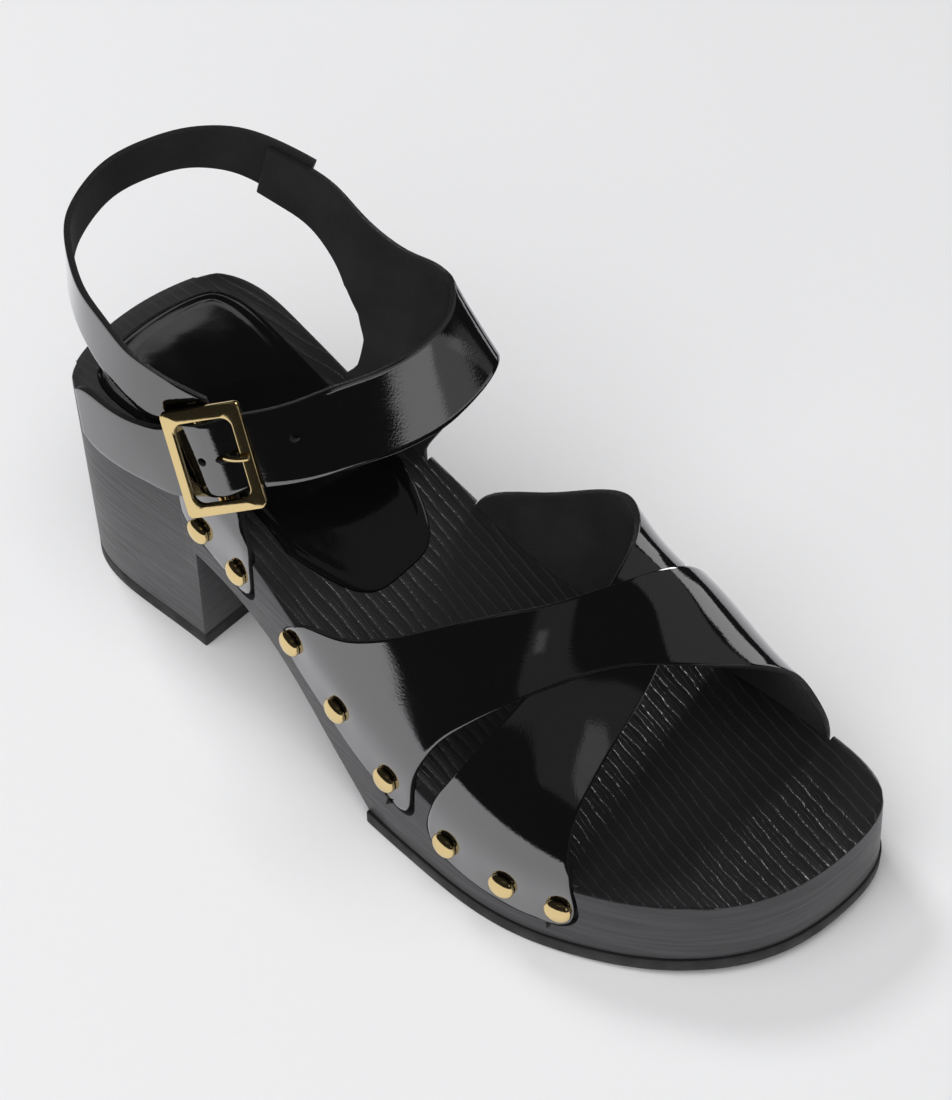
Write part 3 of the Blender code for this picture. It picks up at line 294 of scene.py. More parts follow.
class SandalFinishes(bpy.types.PropertyGroup):
    """Colours of the sandal's finishes"""

    patent: bpy.props.FloatVectorProperty(
        name="Patent leather", description="Colour under the lacquer",
        subtype="COLOR", default=(0.0012, 0.0012, 0.0014))
    lining: bpy.props.FloatVectorProperty(
        name="Lining", description="Colour of the matte lining",
        subtype="COLOR", default=(0.019, 0.0185, 0.019))
    cut_edge: bpy.props.FloatVectorProperty(
        name="Cut edge", description="Colour of the painted leather edge",
        subtype="COLOR", default=(0.012, 0.012, 0.012))
    grain: bpy.props.FloatVectorProperty(
        name="Sole", description="Colour of the grained sole",
        subtype="COLOR", default=(0.045, 0.044, 0.048))
    footbed: bpy.props.FloatVectorProperty(
        name="Footbed", description="Colour of the ribbed footbed",
        subtype="COLOR", default=(0.015, 0.0147, 0.0157))
    rubber: bpy.props.FloatVectorProperty(
        name="Rubber", description="Colour of the outsole and heel lift",
        subtype="COLOR", default=(0.012, 0.012, 0.012))
    sock: bpy.props.FloatVectorProperty(
        name="Sock", description="Colour of the heel sock",
        subtype="COLOR", default=(0.003, 0.003, 0.0032))
    gold: bpy.props.FloatVectorProperty(
        name="Gold", description="Colour of the plated metal",
        subtype="COLOR", default=(0.82, 0.63, 0.31))
    floor: bpy.props.FloatVectorProperty(
        name="Floor", description="Colour of the studio floor",
        subtype="COLOR", default=(0.80, 0.80, 0.81))


class SandalStage(bpy.types.PropertyGroup):
    """Camera and lights of the studio"""

    lens: bpy.props.FloatProperty(
        name="Lens", description="Focal length", default=97.0, unit="CAMERA")
    camera: bpy.props.FloatVectorProperty(
        name="Camera", description="Place of the camera",
        subtype="XYZ", unit="LENGTH", default=(0.3622, -0.3896, 0.675))
    aim: bpy.props.FloatVectorProperty(
        name="Aim", description="Point that the camera looks at", subtype="XYZ", unit="LENGTH",
        default=(0.0025, 0.0077, 0.063))
    key_power: bpy.props.FloatProperty(
        name="Key light", description="Power of the soft light at the heel", default=18.0, unit="POWER")
    fill_power: bpy.props.FloatProperty(
        name="Fill light", description="Power of the wide light overhead", default=92.0, unit="POWER")
    room: bpy.props.FloatProperty(
        name="Room light", description="Strength of the light from all round", default=0.022)
    wall: bpy.props.FloatProperty(
        name="Wall", description="Brightness of the wall behind the floor", default=0.78)
    cards: bpy.props.FloatProperty(
        name="Cards", description="Strength of the cards mirrored in the leather", default=1.0)


# Curves and small helpers

def spline(knots, values):
    """Natural cubic spline through numbers or points at the knots."""
    at = np.asarray(knots, float)
    value = np.asarray(values, float)
    step = np.diff(at)
    system = np.eye(len(at))
    slope_change = np.zeros_like(value)
    for i in range(1, len(at) - 1):
        system[i, i - 1:i + 2] = step[i - 1], 2 * (step[i - 1] + step[i]), step[i]
        ahead = (value[i + 1] - value[i]) / step[i]
        behind = (value[i] - value[i - 1]) / step[i - 1]
        slope_change[i] = 6 * (ahead - behind)
    bend = np.linalg.solve(system, slope_change)

    def evaluate(t):
        t = np.asarray(t, float)
        i = np.clip(np.searchsorted(at, t) - 1, 0, len(at) - 2)
        a, width = (at[i + 1] - t) / step[i], step[i]
        if value.ndim > 1:
            a, width = a[..., None], width[..., None]
        b = 1 - a
        cubic = (a ** 3 - a) * bend[i] + (b ** 3 - b) * bend[i + 1]
        return a * value[i] + b * value[i + 1] + cubic * width ** 2 / 6

    return evaluate


def monotone(knots, values):
    """Curve through numbers or points that never swings past them."""
    at = np.asarray(knots, float)
    value = np.asarray(values, float)
    step = np.diff(at)
    slope = (np.diff(value, axis=0).T / step).T
    same_way = slope[:-1] * slope[1:] > 0
    total = np.where(same_way, slope[:-1] + slope[1:], 1.0)
    inner = np.where(same_way, 2 * slope[:-1] * slope[1:] / total, 0.0)
    tangent = np.concatenate([slope[:1], inner, slope[-1:]])

    def evaluate(t):
        t = np.asarray(t, float)
        i = np.clip(np.searchsorted(at, t) - 1, 0, len(at) - 2)
        s, width = (t - at[i]) / step[i], step[i]
        if value.ndim > 1:
            s, width = s[..., None], width[..., None]
        leave = tangent[i] * (s ** 3 - 2 * s ** 2 + s) + tangent[i + 1] * (s ** 3 - s ** 2)
        return mix(value[i], value[i + 1], s * s * (3 - 2 * s)) + leave * width

    return evaluate


def chord_lengths(points):
    """Running length along a row of points."""
    steps = np.linalg.norm(np.diff(np.asarray(points, float), axis=0), axis=1)
    return np.concatenate([[0.0], np.cumsum(steps)])


def mix(a, b, share):
    """Point or number between a and b."""
    return a + (b - a) * share


def ease(value, start, end):
    """Smooth step from 0 at start to 1 at end."""
    share = np.clip((np.asarray(value, float) - start) / (end - start), 0.0, 1.0)
    return share * share * (3 - 2 * share)


def smoothed(table, passes, pinned=1):
    """Table of points relaxed along its first axis, with its end rows kept."""
    table = table.copy()
    for _pass in range(passes):
        middle = (table[:-2] + table[2:]) / 2
        moved = table[1:-1] * 0.5 + middle * 0.5
        table[pinned:len(table) - pinned] = moved[pinned - 1:len(moved) - pinned + 1]
    return table


def unit(vectors):
    """Vectors of length one."""
    return vectors / np.maximum(np.linalg.norm(vectors, axis=-1, keepdims=True), 1e-9)


# The sole's plan and heights

def make_outline():
    """Closed smooth curve through the outline's rows, with the length at each row."""
    wrap = 3
    rows = np.array(SOLE_OUTLINE)
    ring = np.vstack([rows[-wrap:], rows, rows[:wrap + 1]])
    lengths = chord_lengths(ring)
    return spline(lengths, ring), lengths[wrap:wrap + len(rows) + 1]


OUTLINE, ROW_LENGTHS = make_outline()
ROUND = ROW_LENGTHS[-1] - ROW_LENGTHS[0]
END_LENGTHS = {
    "heel": (ROW_LENGTHS[HEEL_LATERAL] + ROUND, ROW_LENGTHS[HEEL_MEDIAL]),
    "toe": (ROW_LENGTHS[TOE_LATERAL], ROW_LENGTHS[TOE_MEDIAL]),
}


def side_samples(start, end):
    """Lengths and x along one side of the outline, in order of x."""
    lengths = np.linspace(ROW_LENGTHS[start], ROW_LENGTHS[end], OUTLINE_SAMPLES)
    stations = OUTLINE(lengths)[:, 0]
    order = np.argsort(stations)
    return stations[order], lengths[order]


SIDES = {
    LATERAL: side_samples(HEEL_LATERAL, TOE_LATERAL),
    MEDIAL: side_samples(TOE_MEDIAL, HEEL_MEDIAL),
}


def outline_point(length, flare=None):
    """Points of the rim in plan, moved outwards by the flare there."""
    point = OUTLINE(length)
    if flare is None:
        return point
    half_step = 0.5
    ahead = unit(OUTLINE(length + half_step) - OUTLINE(length - half_step))
    outwards = np.stack((ahead[..., 1], -ahead[..., 0]), axis=-1)
    return point + outwards * np.asarray(flare(point[..., 0]))[..., None]


def side_point(x, side, flare=None):
    """Points of the rim on one side at stations x."""
    return outline_point(np.interp(x, *SIDES[side]), flare)


def rim_y(x, side):
    """Where the rim lies on one side at stations x."""
    return side_point(x, side)[..., 1]


def end_point(end, across, flare=None):
    """Points of the heel end or the toe end, from the lateral corner to the medial one."""
    length = mix(*END_LENGTHS[end], np.asarray(across, float))
    return outline_point(np.where(length > ROW_LENGTHS[-1], length - ROUND, length), flare)


footbed_z = spline(*zip(*FOOTBED_RISE))
waist_z = spline(*zip(*WAIST_ARCH))


def wall_flare(x):
    """Flare of the side wall's foot."""
    return np.interp(x, *zip(*WALL_FLARE))


def ground_z(x):
    """Underside of the outsole, with the toe spring."""
    share = np.maximum(0.0, (x - SPRING_START) / (SPRING_END - SPRING_START))
    return TOE_SPRING * share ** 2


def underside_z(x):
    """Underside of the clog sole: heel seat, breast, waist arch and forefoot."""
    lift = LIFT_THICKNESS + GAP
    breast = np.interp(x, (BREAST_FOOT, BREAST_TOP), (lift, WAIST_ARCH[0][1]))
    front = np.where(x < OUTSOLE_START - NUDGE, waist_z(x), ground_z(x) + OUTSOLE_THICKNESS + GAP)
    return np.where(x < BREAST_TOP - NUDGE, breast, front)


def dish(across):
    """Depth of the footbed's dish at shares across it."""
    return FOOTBED_DISH * (1 - (2 * across - 1) ** DISH_POWER)


def footbed_height(x, y):
    """Footbed with its shallow dish."""
    lateral, medial = rim_y(x, LATERAL), rim_y(x, MEDIAL)
    across = np.clip((y - lateral) / (medial - lateral), 0, 1)
    return footbed_z(x) - dish(across)


def sole_columns(first, last):
    """Lateral and medial x of each column, the two parting at the toe."""
    columns = [(x, x) for x in SOLE_STATIONS if first <= x <= last]
    if last > SOLE_STATIONS[-1]:
        ends = SOLE_OUTLINE[TOE_LATERAL][0], SOLE_OUTLINE[TOE_MEDIAL][0]
        start = SOLE_STATIONS[-1]
        for k in range(1, TOE_COLUMNS + 1):
            columns.append(tuple(mix(start, end, k / TOE_COLUMNS) for end in ends))
    return np.array(columns, float)


def fine_steps(columns, cell):
    """Places between the columns, as fractions of a column, about a cell apart."""
    steps = [0.0]
    for k, length in enumerate(np.diff(columns.mean(axis=1))):
        cells = max(1, int(round(length / cell)))
        steps += [k + (n + 1) / cells for n in range(cells)]
    return np.array(steps)


def plan_table(columns, steps, across, flare=None, heel=False, toe=False):
    """Points in plan of a loft, with the heel and toe ends rounded into it, and their stations."""
    numbers = np.arange(len(columns))
    x_lateral = np.interp(steps, numbers, columns[:, 0])
    x_medial = np.interp(steps, numbers, columns[:, 1])
    lateral = side_point(x_lateral, LATERAL, flare)[:, None]
    medial = side_point(x_medial, MEDIAL, flare)[:, None]
    share = across[None, :, None]
    points = mix(lateral, medial, share)
    for end, used, away in (("heel", heel, steps), ("toe", toe, len(columns) - 1 - steps)):
        if used:
            first, last = end_point(end, np.array((0.0, 1.0)), flare)
            bulge = end_point(end, across, flare) - mix(first, last, across[:, None])
            weight = np.clip(1 - away / END_FADE, 0, 1) ** 2
            points = points + bulge[None] * weight[:, None, None]
    stations = mix(x_lateral[:, None], x_medial[:, None], across[None])
    return points, stations


def rows_across(border, count):
    """Shares from one rim to the other, with a row of its own along each rim."""
    return np.concatenate([[0.0], np.linspace(border, 1 - border, count), [1.0]])


def with_height(plan, z):
    """Points in plan with their heights."""
    return np.concatenate([plan, z[..., None]], axis=-1)


# Working with Blender's objects

def to_model(points):
    """Points of the shoe in metres, in the frame's own axes."""
    return (np.asarray(points, float) - CENTRE) * MM


def to_shoe(points):
    """Points in metres back to the shoe's millimetres."""
    return np.asarray(points, float) / MM + CENTRE


def start_grid(name, columns, rows):
    """New flat grid, selected alone."""
    bpy.ops.object.select_all(action="DESELECT")
    bpy.ops.mesh.primitive_grid_add(x_subdivisions=columns, y_subdivisions=rows, size=1)
    item = bpy.context.active_object
    item.name = item.data.name = name
    return item


def grid_places(item, columns, rows):
    """Column, row and layer of each vertex of a flat grid."""
    flat = np.empty(len(item.data.vertices) * 3)
    item.data.vertices.foreach_get("co", flat)
    flat = flat.reshape(-1, 3)
    column = np.rint((flat[:, 0] + 0.5) * columns).astype(int)
    row = np.rint((flat[:, 1] + 0.5) * rows).astype(int)
    return column, row, flat[:, 2]


def set_points(item, points):
    """Move a mesh's vertices to points given in metres."""
    item.data.vertices.foreach_set("co", np.asarray(points, np.float32).ravel())
    item.data.update()


def get_points(item):
    """Vertices of a mesh, in metres."""
    flat = np.empty(len(item.data.vertices) * 3)
    item.data.vertices.foreach_get("co", flat)
    return flat.reshape(-1, 3)


def select_only(*items):
    """Select these objects alone, with the first one active."""
    bpy.ops.object.select_all(action="DESELECT")
    for item in items:
        item.select_set(True)
    bpy.context.view_layer.objects.active = items[0]


def edit_only(item):
    """Enter edit mode and keep the selection."""
    bpy.context.view_layer.objects.active = item
    bpy.ops.object.mode_set(mode="EDIT")


def edit(item):
    """Enter edit mode with everything selected."""
    edit_only(item)
    bpy.ops.mesh.select_all(action="SELECT")


def leave_edit():
    """Back to object mode."""
    bpy.ops.object.mode_set(mode="OBJECT")


def leave_facing_out():
    """Face everything outwards, and go back to object mode."""
    bpy.ops.mesh.select_all(action="SELECT")
    bpy.ops.mesh.normals_make_consistent(inside=False)
    leave_edit()


def turn_over(item):
    """Turn all the faces of a sheet round."""
    edit(item)
    bpy.ops.mesh.flip_normals()
    leave_edit()


def add_cylinder(sides, radius, length, turn=(0, 0, 0)):
    """New round bar in metres, turned in its mesh."""
    bpy.ops.object.select_all(action="DESELECT")
    bpy.ops.mesh.primitive_cylinder_add(vertices=sides, radius=radius, depth=length, rotation=turn)
    bpy.ops.object.transform_apply(location=True, rotation=True, scale=True)
    return bpy.context.active_object


def sheet(name, table):
    """Open sheet through a table of points, [column, row, 3] in millimetres."""
    columns, rows = table.shape[0] - 1, table.shape[1] - 1
    item = start_grid(name, columns, rows)
    column, row, _layer = grid_places(item, columns, rows)
    set_points(item, to_model(table[column, row]))
    return item


def slab(name, bottom, top):
    """Closed slab between two tables of points, [column, row, 3] in millimetres."""
    columns, rows = top.shape[0] - 1, top.shape[1] - 1
    item = start_grid(name, columns, rows)
    edit(item)
    bpy.ops.mesh.extrude_region_move(TRANSFORM_OT_translate={"value": (0, 0, 1)})
    leave_edit()
    column, row, layer = grid_places(item, columns, rows)
    upper = (layer > 0.5)[:, None]
    set_points(item, to_model(np.where(upper, top[column, row], bottom[column, row])))
    edit(item)
    leave_facing_out()
    return item


def settle(item):
    """Apply an object's modifiers in order."""
    select_only(item)
    for modifier in list(item.modifiers):
        bpy.ops.object.modifier_apply(modifier=modifier.name)


def join(items, name):
    """Join objects into the first one."""
    select_only(*items)
    bpy.ops.object.join()
    items[0].name = items[0].data.name = name
    return items[0]


def add_bevel(item, width, segments=ROUNDING_SEGMENTS):
    """Bevel modifier on the sharp edges, with its width in metres."""
    bevel = item.modifiers.new("Rounding", "BEVEL")
    bevel.width = width
    bevel.segments = segments
    bevel.limit_method = "ANGLE"
    bevel.angle_limit = math.radians(ROUNDED_ANGLE)
    bevel.use_clamp_overlap = False


def cut(item, tools):
    """Cut tools out of an object, and remove them."""
    tool = join(tools, item.name + "_tool") if len(tools) > 1 else tools[0]
    boolean = item.modifiers.new("Cut", "BOOLEAN")
    boolean.operation = "DIFFERENCE"
    boolean.solver = "EXACT"
    boolean.object = tool
    settle(item)
    bpy.data.objects.remove(tool, do_unlink=True)


def smooth(item, degrees=CRISP):
    """Smooth shading with crisp edges."""
    select_only(item)
    bpy.ops.object.shade_smooth_by_angle(angle=math.radians(degrees))


def dress(item, slot, *finishes):
    """Give a piece its finishes and the body that it rides on; the slot is not used."""
    item.data.materials.clear()
    for material in finishes:
        item.data.materials.append(material)
    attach(item, "root")


# Finishes

def add_node(tree, kind, values=None, **settings):
    """Shader node with its settings and socket values."""
    made = tree.nodes.new(kind)
    for key, value in settings.items():
        setattr(made, key, value)
    for socket, value in (values or {}).items():
        made.inputs[socket].default_value = value
    return made


def start_finish(name, colour, roughness, sockets=None):
    """New material, its node tree and its shader, with the shader's plain numbers set."""
    material = bpy.data.materials.new(name)
    material.use_nodes = True
    tree = material.node_tree
    shader = tree.nodes["Principled BSDF"]
    shader.inputs["Base Color"].default_value = (*colour, 1.0)
    shader.inputs["Roughness"].default_value = roughness
    for socket, value in (sockets or {}).items():
        shader.inputs[socket].default_value = value
    return material, tree, shader


def object_coords(tree):
    """Coordinates fixed to the piece, in metres."""
    return add_node(tree, "ShaderNodeTexCoord").outputs["Object"]


def grain_map(tree):
    """Coordinates of the sole's own map: along the grain and across it, in metres."""
    return add_node(tree, "ShaderNodeUVMap", uv_map="grain").outputs["UV"]


def noise(tree, coords, scale=1.0, detail=2, stretch=(1, 1, 1), distortion=0.0):
    """Noise at a number of features per metre, stretched along the axes."""
    mapping = add_node(tree, "ShaderNodeMapping", {"Scale": stretch})
    tree.links.new(coords, mapping.inputs["Vector"])
    texture = add_node(
        tree, "ShaderNodeTexNoise", {"Scale": scale, "Detail": detail, "Distortion": distortion})
    tree.links.new(mapping.outputs["Vector"], texture.inputs["Vector"])
    return texture.outputs["Fac"]


def bump(tree, height, strength, distance, normal=None):
    """Bump from a height, on top of another normal."""
    made = add_node(tree, "ShaderNodeBump", {"Strength": strength, "Distance": distance})
    tree.links.new(height, made.inputs["Height"])
    if normal is not None:
        tree.links.new(normal, made.inputs["Normal"])
    return made.outputs["Normal"]


def spread(tree, value, low, high, start=0.35, end=0.65):
    """Map a value between start and end to a range of numbers."""
    made = add_node(
        tree, "ShaderNodeMapRange",
        {"From Min": start, "From Max": end, "To Min": low, "To Max": high})
    tree.links.new(value, made.inputs["Value"])
    return made.outputs["Result"]


def math_node(tree, operation, *values):
    """Result of a sum on sockets and plain numbers."""
    made = add_node(tree, "ShaderNodeMath", operation=operation)
    for place, value in zip(made.inputs, values):
        if isinstance(value, float):
            place.default_value = value
        else:
            tree.links.new(value, place)
    return made.outputs[0]


def tone_between(tree, share, colour, darker, lighter):
    """Colour that varies by a share between a darker and a lighter tone of one colour."""
    made = add_node(tree, "ShaderNodeMix", data_type="RGBA")
    for socket, tone in zip((6, 7), (darker, lighter)):
        made.inputs[socket].default_value = (*(min(1.0, c * tone) for c in colour), 1.0)
    tree.links.new(share, made.inputs["Factor"])
    return made.outputs[2]


def sharp_lines(tree, turns, half_width):
    """Narrow lines once in each turn, as a mask."""
    share = math_node(tree, "SUBTRACT", math_node(tree, "FRACT", turns), 0.5)
    return spread(tree, math_node(tree, "ABSOLUTE", share), 1.0, 0.0, 0.015, half_width)


def patent_finish(colour):
    """Black lacquered leather: mirror gloss over a faint pebble and slow waves."""
    material, tree, shader = start_finish("patent_leather", colour, 0.07, {
        "Coat Weight": 1.0, "Coat IOR": 2.3, "Coat Roughness": 0.05,
        "Coat Tint": (0.96, 0.955, 1.0, 1.0)})
    coords = object_coords(tree)
    waves = noise(tree, coords, scale=55)
    pebble = noise(tree, coords, scale=1700)
    normal = bump(tree, waves, strength=0.05, distance=0.0010)
    normal = bump(tree, pebble, strength=0.17, distance=0.00006, normal=normal)
    tree.links.new(normal, shader.inputs["Normal"])
    tree.links.new(normal, shader.inputs["Coat Normal"])
    return material


def lining_finish(colour):
    """Matte brushed lining with a short nap."""
    material, tree, shader = start_finish("brushed_lining", colour, 0.92, {
        "Sheen Weight": 0.06, "Sheen Roughness": 0.5, "Specular IOR Level": 0.3})
    coords = object_coords(tree)
    nap = noise(tree, coords, scale=900, detail=4)
    patches = noise(tree, coords, scale=90, detail=3)
    tone = tone_between(tree, patches, colour, darker=0.6, lighter=1.5)
    tree.links.new(tone, shader.inputs["Base Color"])
    tree.links.new(bump(tree, nap, strength=0.5, distance=0.0003), shader.inputs["Normal"])
    return material


def edge_finish(colour):
    """Painted cut edge with the fibres showing faintly."""
    material, tree, shader = start_finish("painted_edge", colour, 0.6)
    fibres = noise(tree, object_coords(tree), scale=1400, detail=3)
    tree.links.new(bump(tree, fibres, strength=0.35, distance=0.00025), shader.inputs["Normal"])
    tree.links.new(spread(tree, fibres, 0.45, 0.75), shader.inputs["Roughness"])
    return material


def grain_finish(colour):
    """Black satin sole edge with a fine lengthwise grain."""
    material, tree, shader = start_finish("black_sole_edge", colour, 0.4)
    coords = grain_map(tree)
    pores = noise(tree, coords, detail=3, stretch=(90, 1700, 1), distortion=0.3)
    streaks = noise(tree, coords, detail=3, stretch=(26, 560, 1), distortion=0.6)
    lines = spread(tree, streaks, 0.0, 1.0, start=0.40, end=0.62)
    tone = tone_between(tree, lines, colour, darker=0.75, lighter=1.15)
    tree.links.new(tone, shader.inputs["Base Color"])
    tree.links.new(spread(tree, pores, 0.34, 0.46), shader.inputs["Roughness"])
    normal = bump(tree, lines, strength=0.22, distance=0.0003)
    normal = bump(tree, pores, strength=0.25, distance=0.00015, normal=normal)
    tree.links.new(normal, shader.inputs["Normal"])
    return material


def footbed_finish(colour):
    """Black footbed whose sharp broken lines sit on the modelled ribs, with a painted highlight on
    their crests.
    """
    material, tree, shader = start_finish(
        "black_ribbed_footbed", colour, 0.4, {"Specular IOR Level": 0.8})
    coords = grain_map(tree)
    split = add_node(tree, "ShaderNodeSeparateXYZ")
    tree.links.new(coords, split.inputs[0])
    along, across = split.outputs["X"], split.outputs["Y"]
    turns = math_node(tree, "MULTIPLY", across, 1 / bpy.context.scene.sandal_sizes.rib_pitch)
    line = sharp_lines(tree, turns, half_width=0.12)
    between = sharp_lines(tree, math_node(tree, "ADD", turns, 0.47), half_width=0.09)
    crumbs = noise(tree, coords, detail=3, stretch=(800, 1300, 1))
    pores = noise(tree, coords, detail=3, stretch=(150, 1500, 1), distortion=0.5)
    heel_start, heel_end = (x * MM for x in HEEL_FADE)
    corner_start, corner_end = (y * MM for y in CORNER_LINES_FADE)
    lines = math_node(tree, "MULTIPLY_ADD", between, 0.45, line)
    for fade in (
            spread(tree, crumbs, 0.2, 1.0, start=0.38, end=0.58),
            spread(tree, along, 0.15, 1.0, start=heel_start, end=heel_end),
            spread(tree, across, 1.0, 0.1, start=corner_start, end=corner_end)):
        lines = math_node(tree, "MULTIPLY", lines, fade)
    normal = bump(tree, lines, strength=1.0, distance=0.00012)
    normal = bump(tree, pores, strength=0.6, distance=0.00008, normal=normal)
    tree.links.new(normal, shader.inputs["Normal"])
    tree.links.new(spread(tree, lines, 0.36, 0.22, start=0.1, end=0.7), shader.inputs["Roughness"])
    # Painted highlight: the rib crests are painted lighter than the flats between them.
    tone = tone_between(tree, line, colour, darker=0.7, lighter=1.4)
    tree.links.new(tone, shader.inputs["Base Color"])
    return material


def rubber_finish(colour):
    """Matte rubber with a fine moulded texture."""
    material, tree, shader = start_finish("black_rubber", colour, 0.6)
    coords = object_coords(tree)
    moulding = noise(tree, coords, scale=1600)
    scuffs = noise(tree, coords, scale=140, detail=4)
    tree.links.new(spread(tree, scuffs, 0.5, 0.7), shader.inputs["Roughness"])
    tree.links.new(bump(tree, moulding, strength=0.3, distance=0.0002), shader.inputs["Normal"])
    return material


def sock_finish(colour):
    """Smooth glossy sock with a soft cushioned surface."""
    material, tree, shader = start_finish(
        "glossy_sock", colour, 0.1, {"Coat Weight": 0.2, "Coat Roughness": 0.1})
    coords = object_coords(tree)
    cushion = noise(tree, coords, scale=70)
    skin = noise(tree, coords, scale=1300)
    normal = bump(tree, cushion, strength=0.15, distance=0.0012)
    normal = bump(tree, skin, strength=0.12, distance=0.00008, normal=normal)
    tree.links.new(normal, shader.inputs["Normal"])
    tree.links.new(spread(tree, cushion, 0.08, 0.14), shader.inputs["Roughness"])
    return material


def gold_finish(colour):
    """Pale polished gold plate with faint handling marks."""
    material, tree, shader = start_finish("pale_gold", colour, 0.16, {"Metallic": 1.0})
    marks = noise(tree, object_coords(tree), scale=700, detail=5, stretch=(1, 1, 6))
    tree.links.new(spread(tree, marks, 0.06, 0.12), shader.inputs["Roughness"])
    tree.links.new(bump(tree, marks, strength=0.03, distance=0.0001), shader.inputs["Normal"])
    return material


def floor_finish(colour):
    """Pale matte studio paper."""
    material, tree, shader = start_finish("studio_paper", colour, 0.75, {"Specular IOR Level": 0.2})
    paper = noise(tree, object_coords(tree), scale=300, detail=3)
    tone = tone_between(tree, paper, colour, darker=0.99, lighter=1.01)
    tree.links.new(tone, shader.inputs["Base Color"])
    return material


FINISH_MAKERS = {
    "patent": patent_finish, "lining": lining_finish, "cut_edge": edge_finish,
    "grain": grain_finish, "footbed": footbed_finish, "rubber": rubber_finish,
    "sock": sock_finish, "gold": gold_finish, "floor": floor_finish,
}
FINISHES = {}


def finish(name):
    """The finish of this name, made when it is first asked for."""
    if name not in FINISHES:
        colour = getattr(bpy.context.scene.sandal_finishes, name)
        FINISHES[name] = FINISH_MAKERS[name](tuple(colour))
    return FINISHES[name]


# Sole

def sock_tables(grow, bottom, top, cell, rows):
    """Bottom and top tables of the heel sock, with its plan grown by a margin."""
    columns = np.vstack([sole_columns(0, BREAST_FOOT), [(x, x) for x in SOCK_FRONT_COLUMNS]])
    steps = fine_steps(columns, cell)
    across = np.linspace(0, 1, rows + 1)
    plan, _stations = plan_table(columns, steps, across, lambda x: x * 0 + grow - SOCK_INSET, True)
    x, y = plan[..., 0], plan[..., 1]
    shoulder = SOCK_FRONT_COLUMNS[-1]
    y = y + SOCK_DRAWN_IN * ease(x, SOCK_DRAWN_FROM, shoulder) * (1 - across)
    forward = ease(steps / (len(columns) - 1), SOCK_NOSE_FROM, 1.0)[:, None]
    x = x + (SOCK_TIP - shoulder + grow) * forward * (1 - np.abs(2 * across - 1) ** SOCK_NOSE_POWER)
    plan = np.stack((x, y), axis=-1)
    height = footbed_height(x, y)
    return with_height(plan, height + bottom), with_height(plan, height + top)


def wall_point(x, side, depth):
    """Back of the recess in the side wall, depth below the rim."""
    x = np.asarray(x, float)
    y = rim_y(x, side) - side * RECESS
    return np.stack((x, y, footbed_z(x) - depth), axis=-1)


def leather_point(x, side, depth):
    """Inner face of a strap end, which leans out with the wall below the rim."""
    point = wall_point(x, side, depth)
    x = np.asarray(x, float)
    share = depth / (footbed_z(x) - underside_z(x))
    proud = LEATHER_PROUD * ease(depth, 0.0, LEATHER_PROUD_FROM)
    point[..., 1] += side * (wall_flare(x) * share + proud)
    return point


def corner_inset(left, radius):
    """How far an edge draws in where a rounded end is this far ahead."""
    inside = np.clip(radius - np.asarray(left, float), 0.0, radius)
    return radius - np.sqrt(radius ** 2 - inside ** 2)


def recess_tool(name, side, end_depth, edges):
    """Cutter for the recess that takes a strap's rounded end.

    edges(share) gives the strap's rear and front x from the rim, 0, to its end, 1.
    """
    deepest = end_depth + NOTCH_MARGIN
    share = np.linspace(0, 1, RECESS_CELLS + 1)
    depth = deepest - (deepest + RECESS_RISE) * share ** END_CROWDING
    rear, front = edges(np.clip(depth / end_depth, 0.0, 1.0))
    inset = corner_inset(deepest - depth, CORNER_RADIUS + NOTCH_MARGIN) - NOTCH_MARGIN
    x = mix((rear + inset)[:, None], (front - inset + FRONT_MARGIN)[:, None], share[None])
    back = wall_point(x, side, depth[:, None])
    out = np.array((0, side, 0))
    return slab(name, back - out * GAP, back + out * (RECESS + LEATHER))


def strap_edges(strap):
    """Rear and front x of a vamp strap at a girth."""
    girths, rears, fronts = zip(*strap)
    rear, front = monotone(girths, rears), monotone(girths, fronts)
    return lambda girth: (rear(girth), front(girth))


def recess_tools():
    """Cutters for both ends of the vamp straps and for the tabs of the quarters."""
    tools = []
    for name, strap in (("over", OVER_STRAP), ("under", UNDER_STRAP)):
        edges = strap_edges(strap)
        tools.append(recess_tool(name + "_lateral", LATERAL, END_DEPTH, lambda share: edges(-share)))
        tools.append(recess_tool(name + "_medial", MEDIAL, END_DEPTH, lambda share: edges(1 + share)))
    for side, name in SIDE_NAMES.items():
        rear, front = QUARTER_FOOT[side]
        straight = lambda share: (share * 0 + rear, share * 0 + front)
        tools.append(recess_tool(name + "_quarter", side, TAB_DEPTH[side], straight))
    return tools


def grain_sway(x, y):
    """How far the grain lines have drifted across the foot, in millimetres."""
    turn = np.clip((x - GRAIN_BEND_FROM) / (GRAIN_BEND_TO - GRAIN_BEND_FROM), 0, None)
    curved = np.where(turn < 1, turn ** 2 / 2, turn - 0.5) * (GRAIN_BEND_TO - GRAIN_BEND_FROM)
    sway = curved * math.tan(math.radians(GRAIN_BEND))
    for wave in GRAIN_WAVES:
        sway = sway + wave.reach * np.sin(x / wave.along + y / wave.across + wave.start)
    return sway


def rib_height(x, y, pitch):
    """Height of the grain ribs, 1 on their crests."""
    phase = (y + grain_sway(x, y)) / pitch
    from_crest = np.abs(np.mod(phase, 1.0) - 0.5) * 2
    return np.exp(-(from_crest / RIB_WIDTH) ** 2)


def on_breast(place):
    """Whether a place on an upright face is on the heel's breast, below the waist."""
    return place.z < BREAST_HEIGHT * MM and place.x < 0


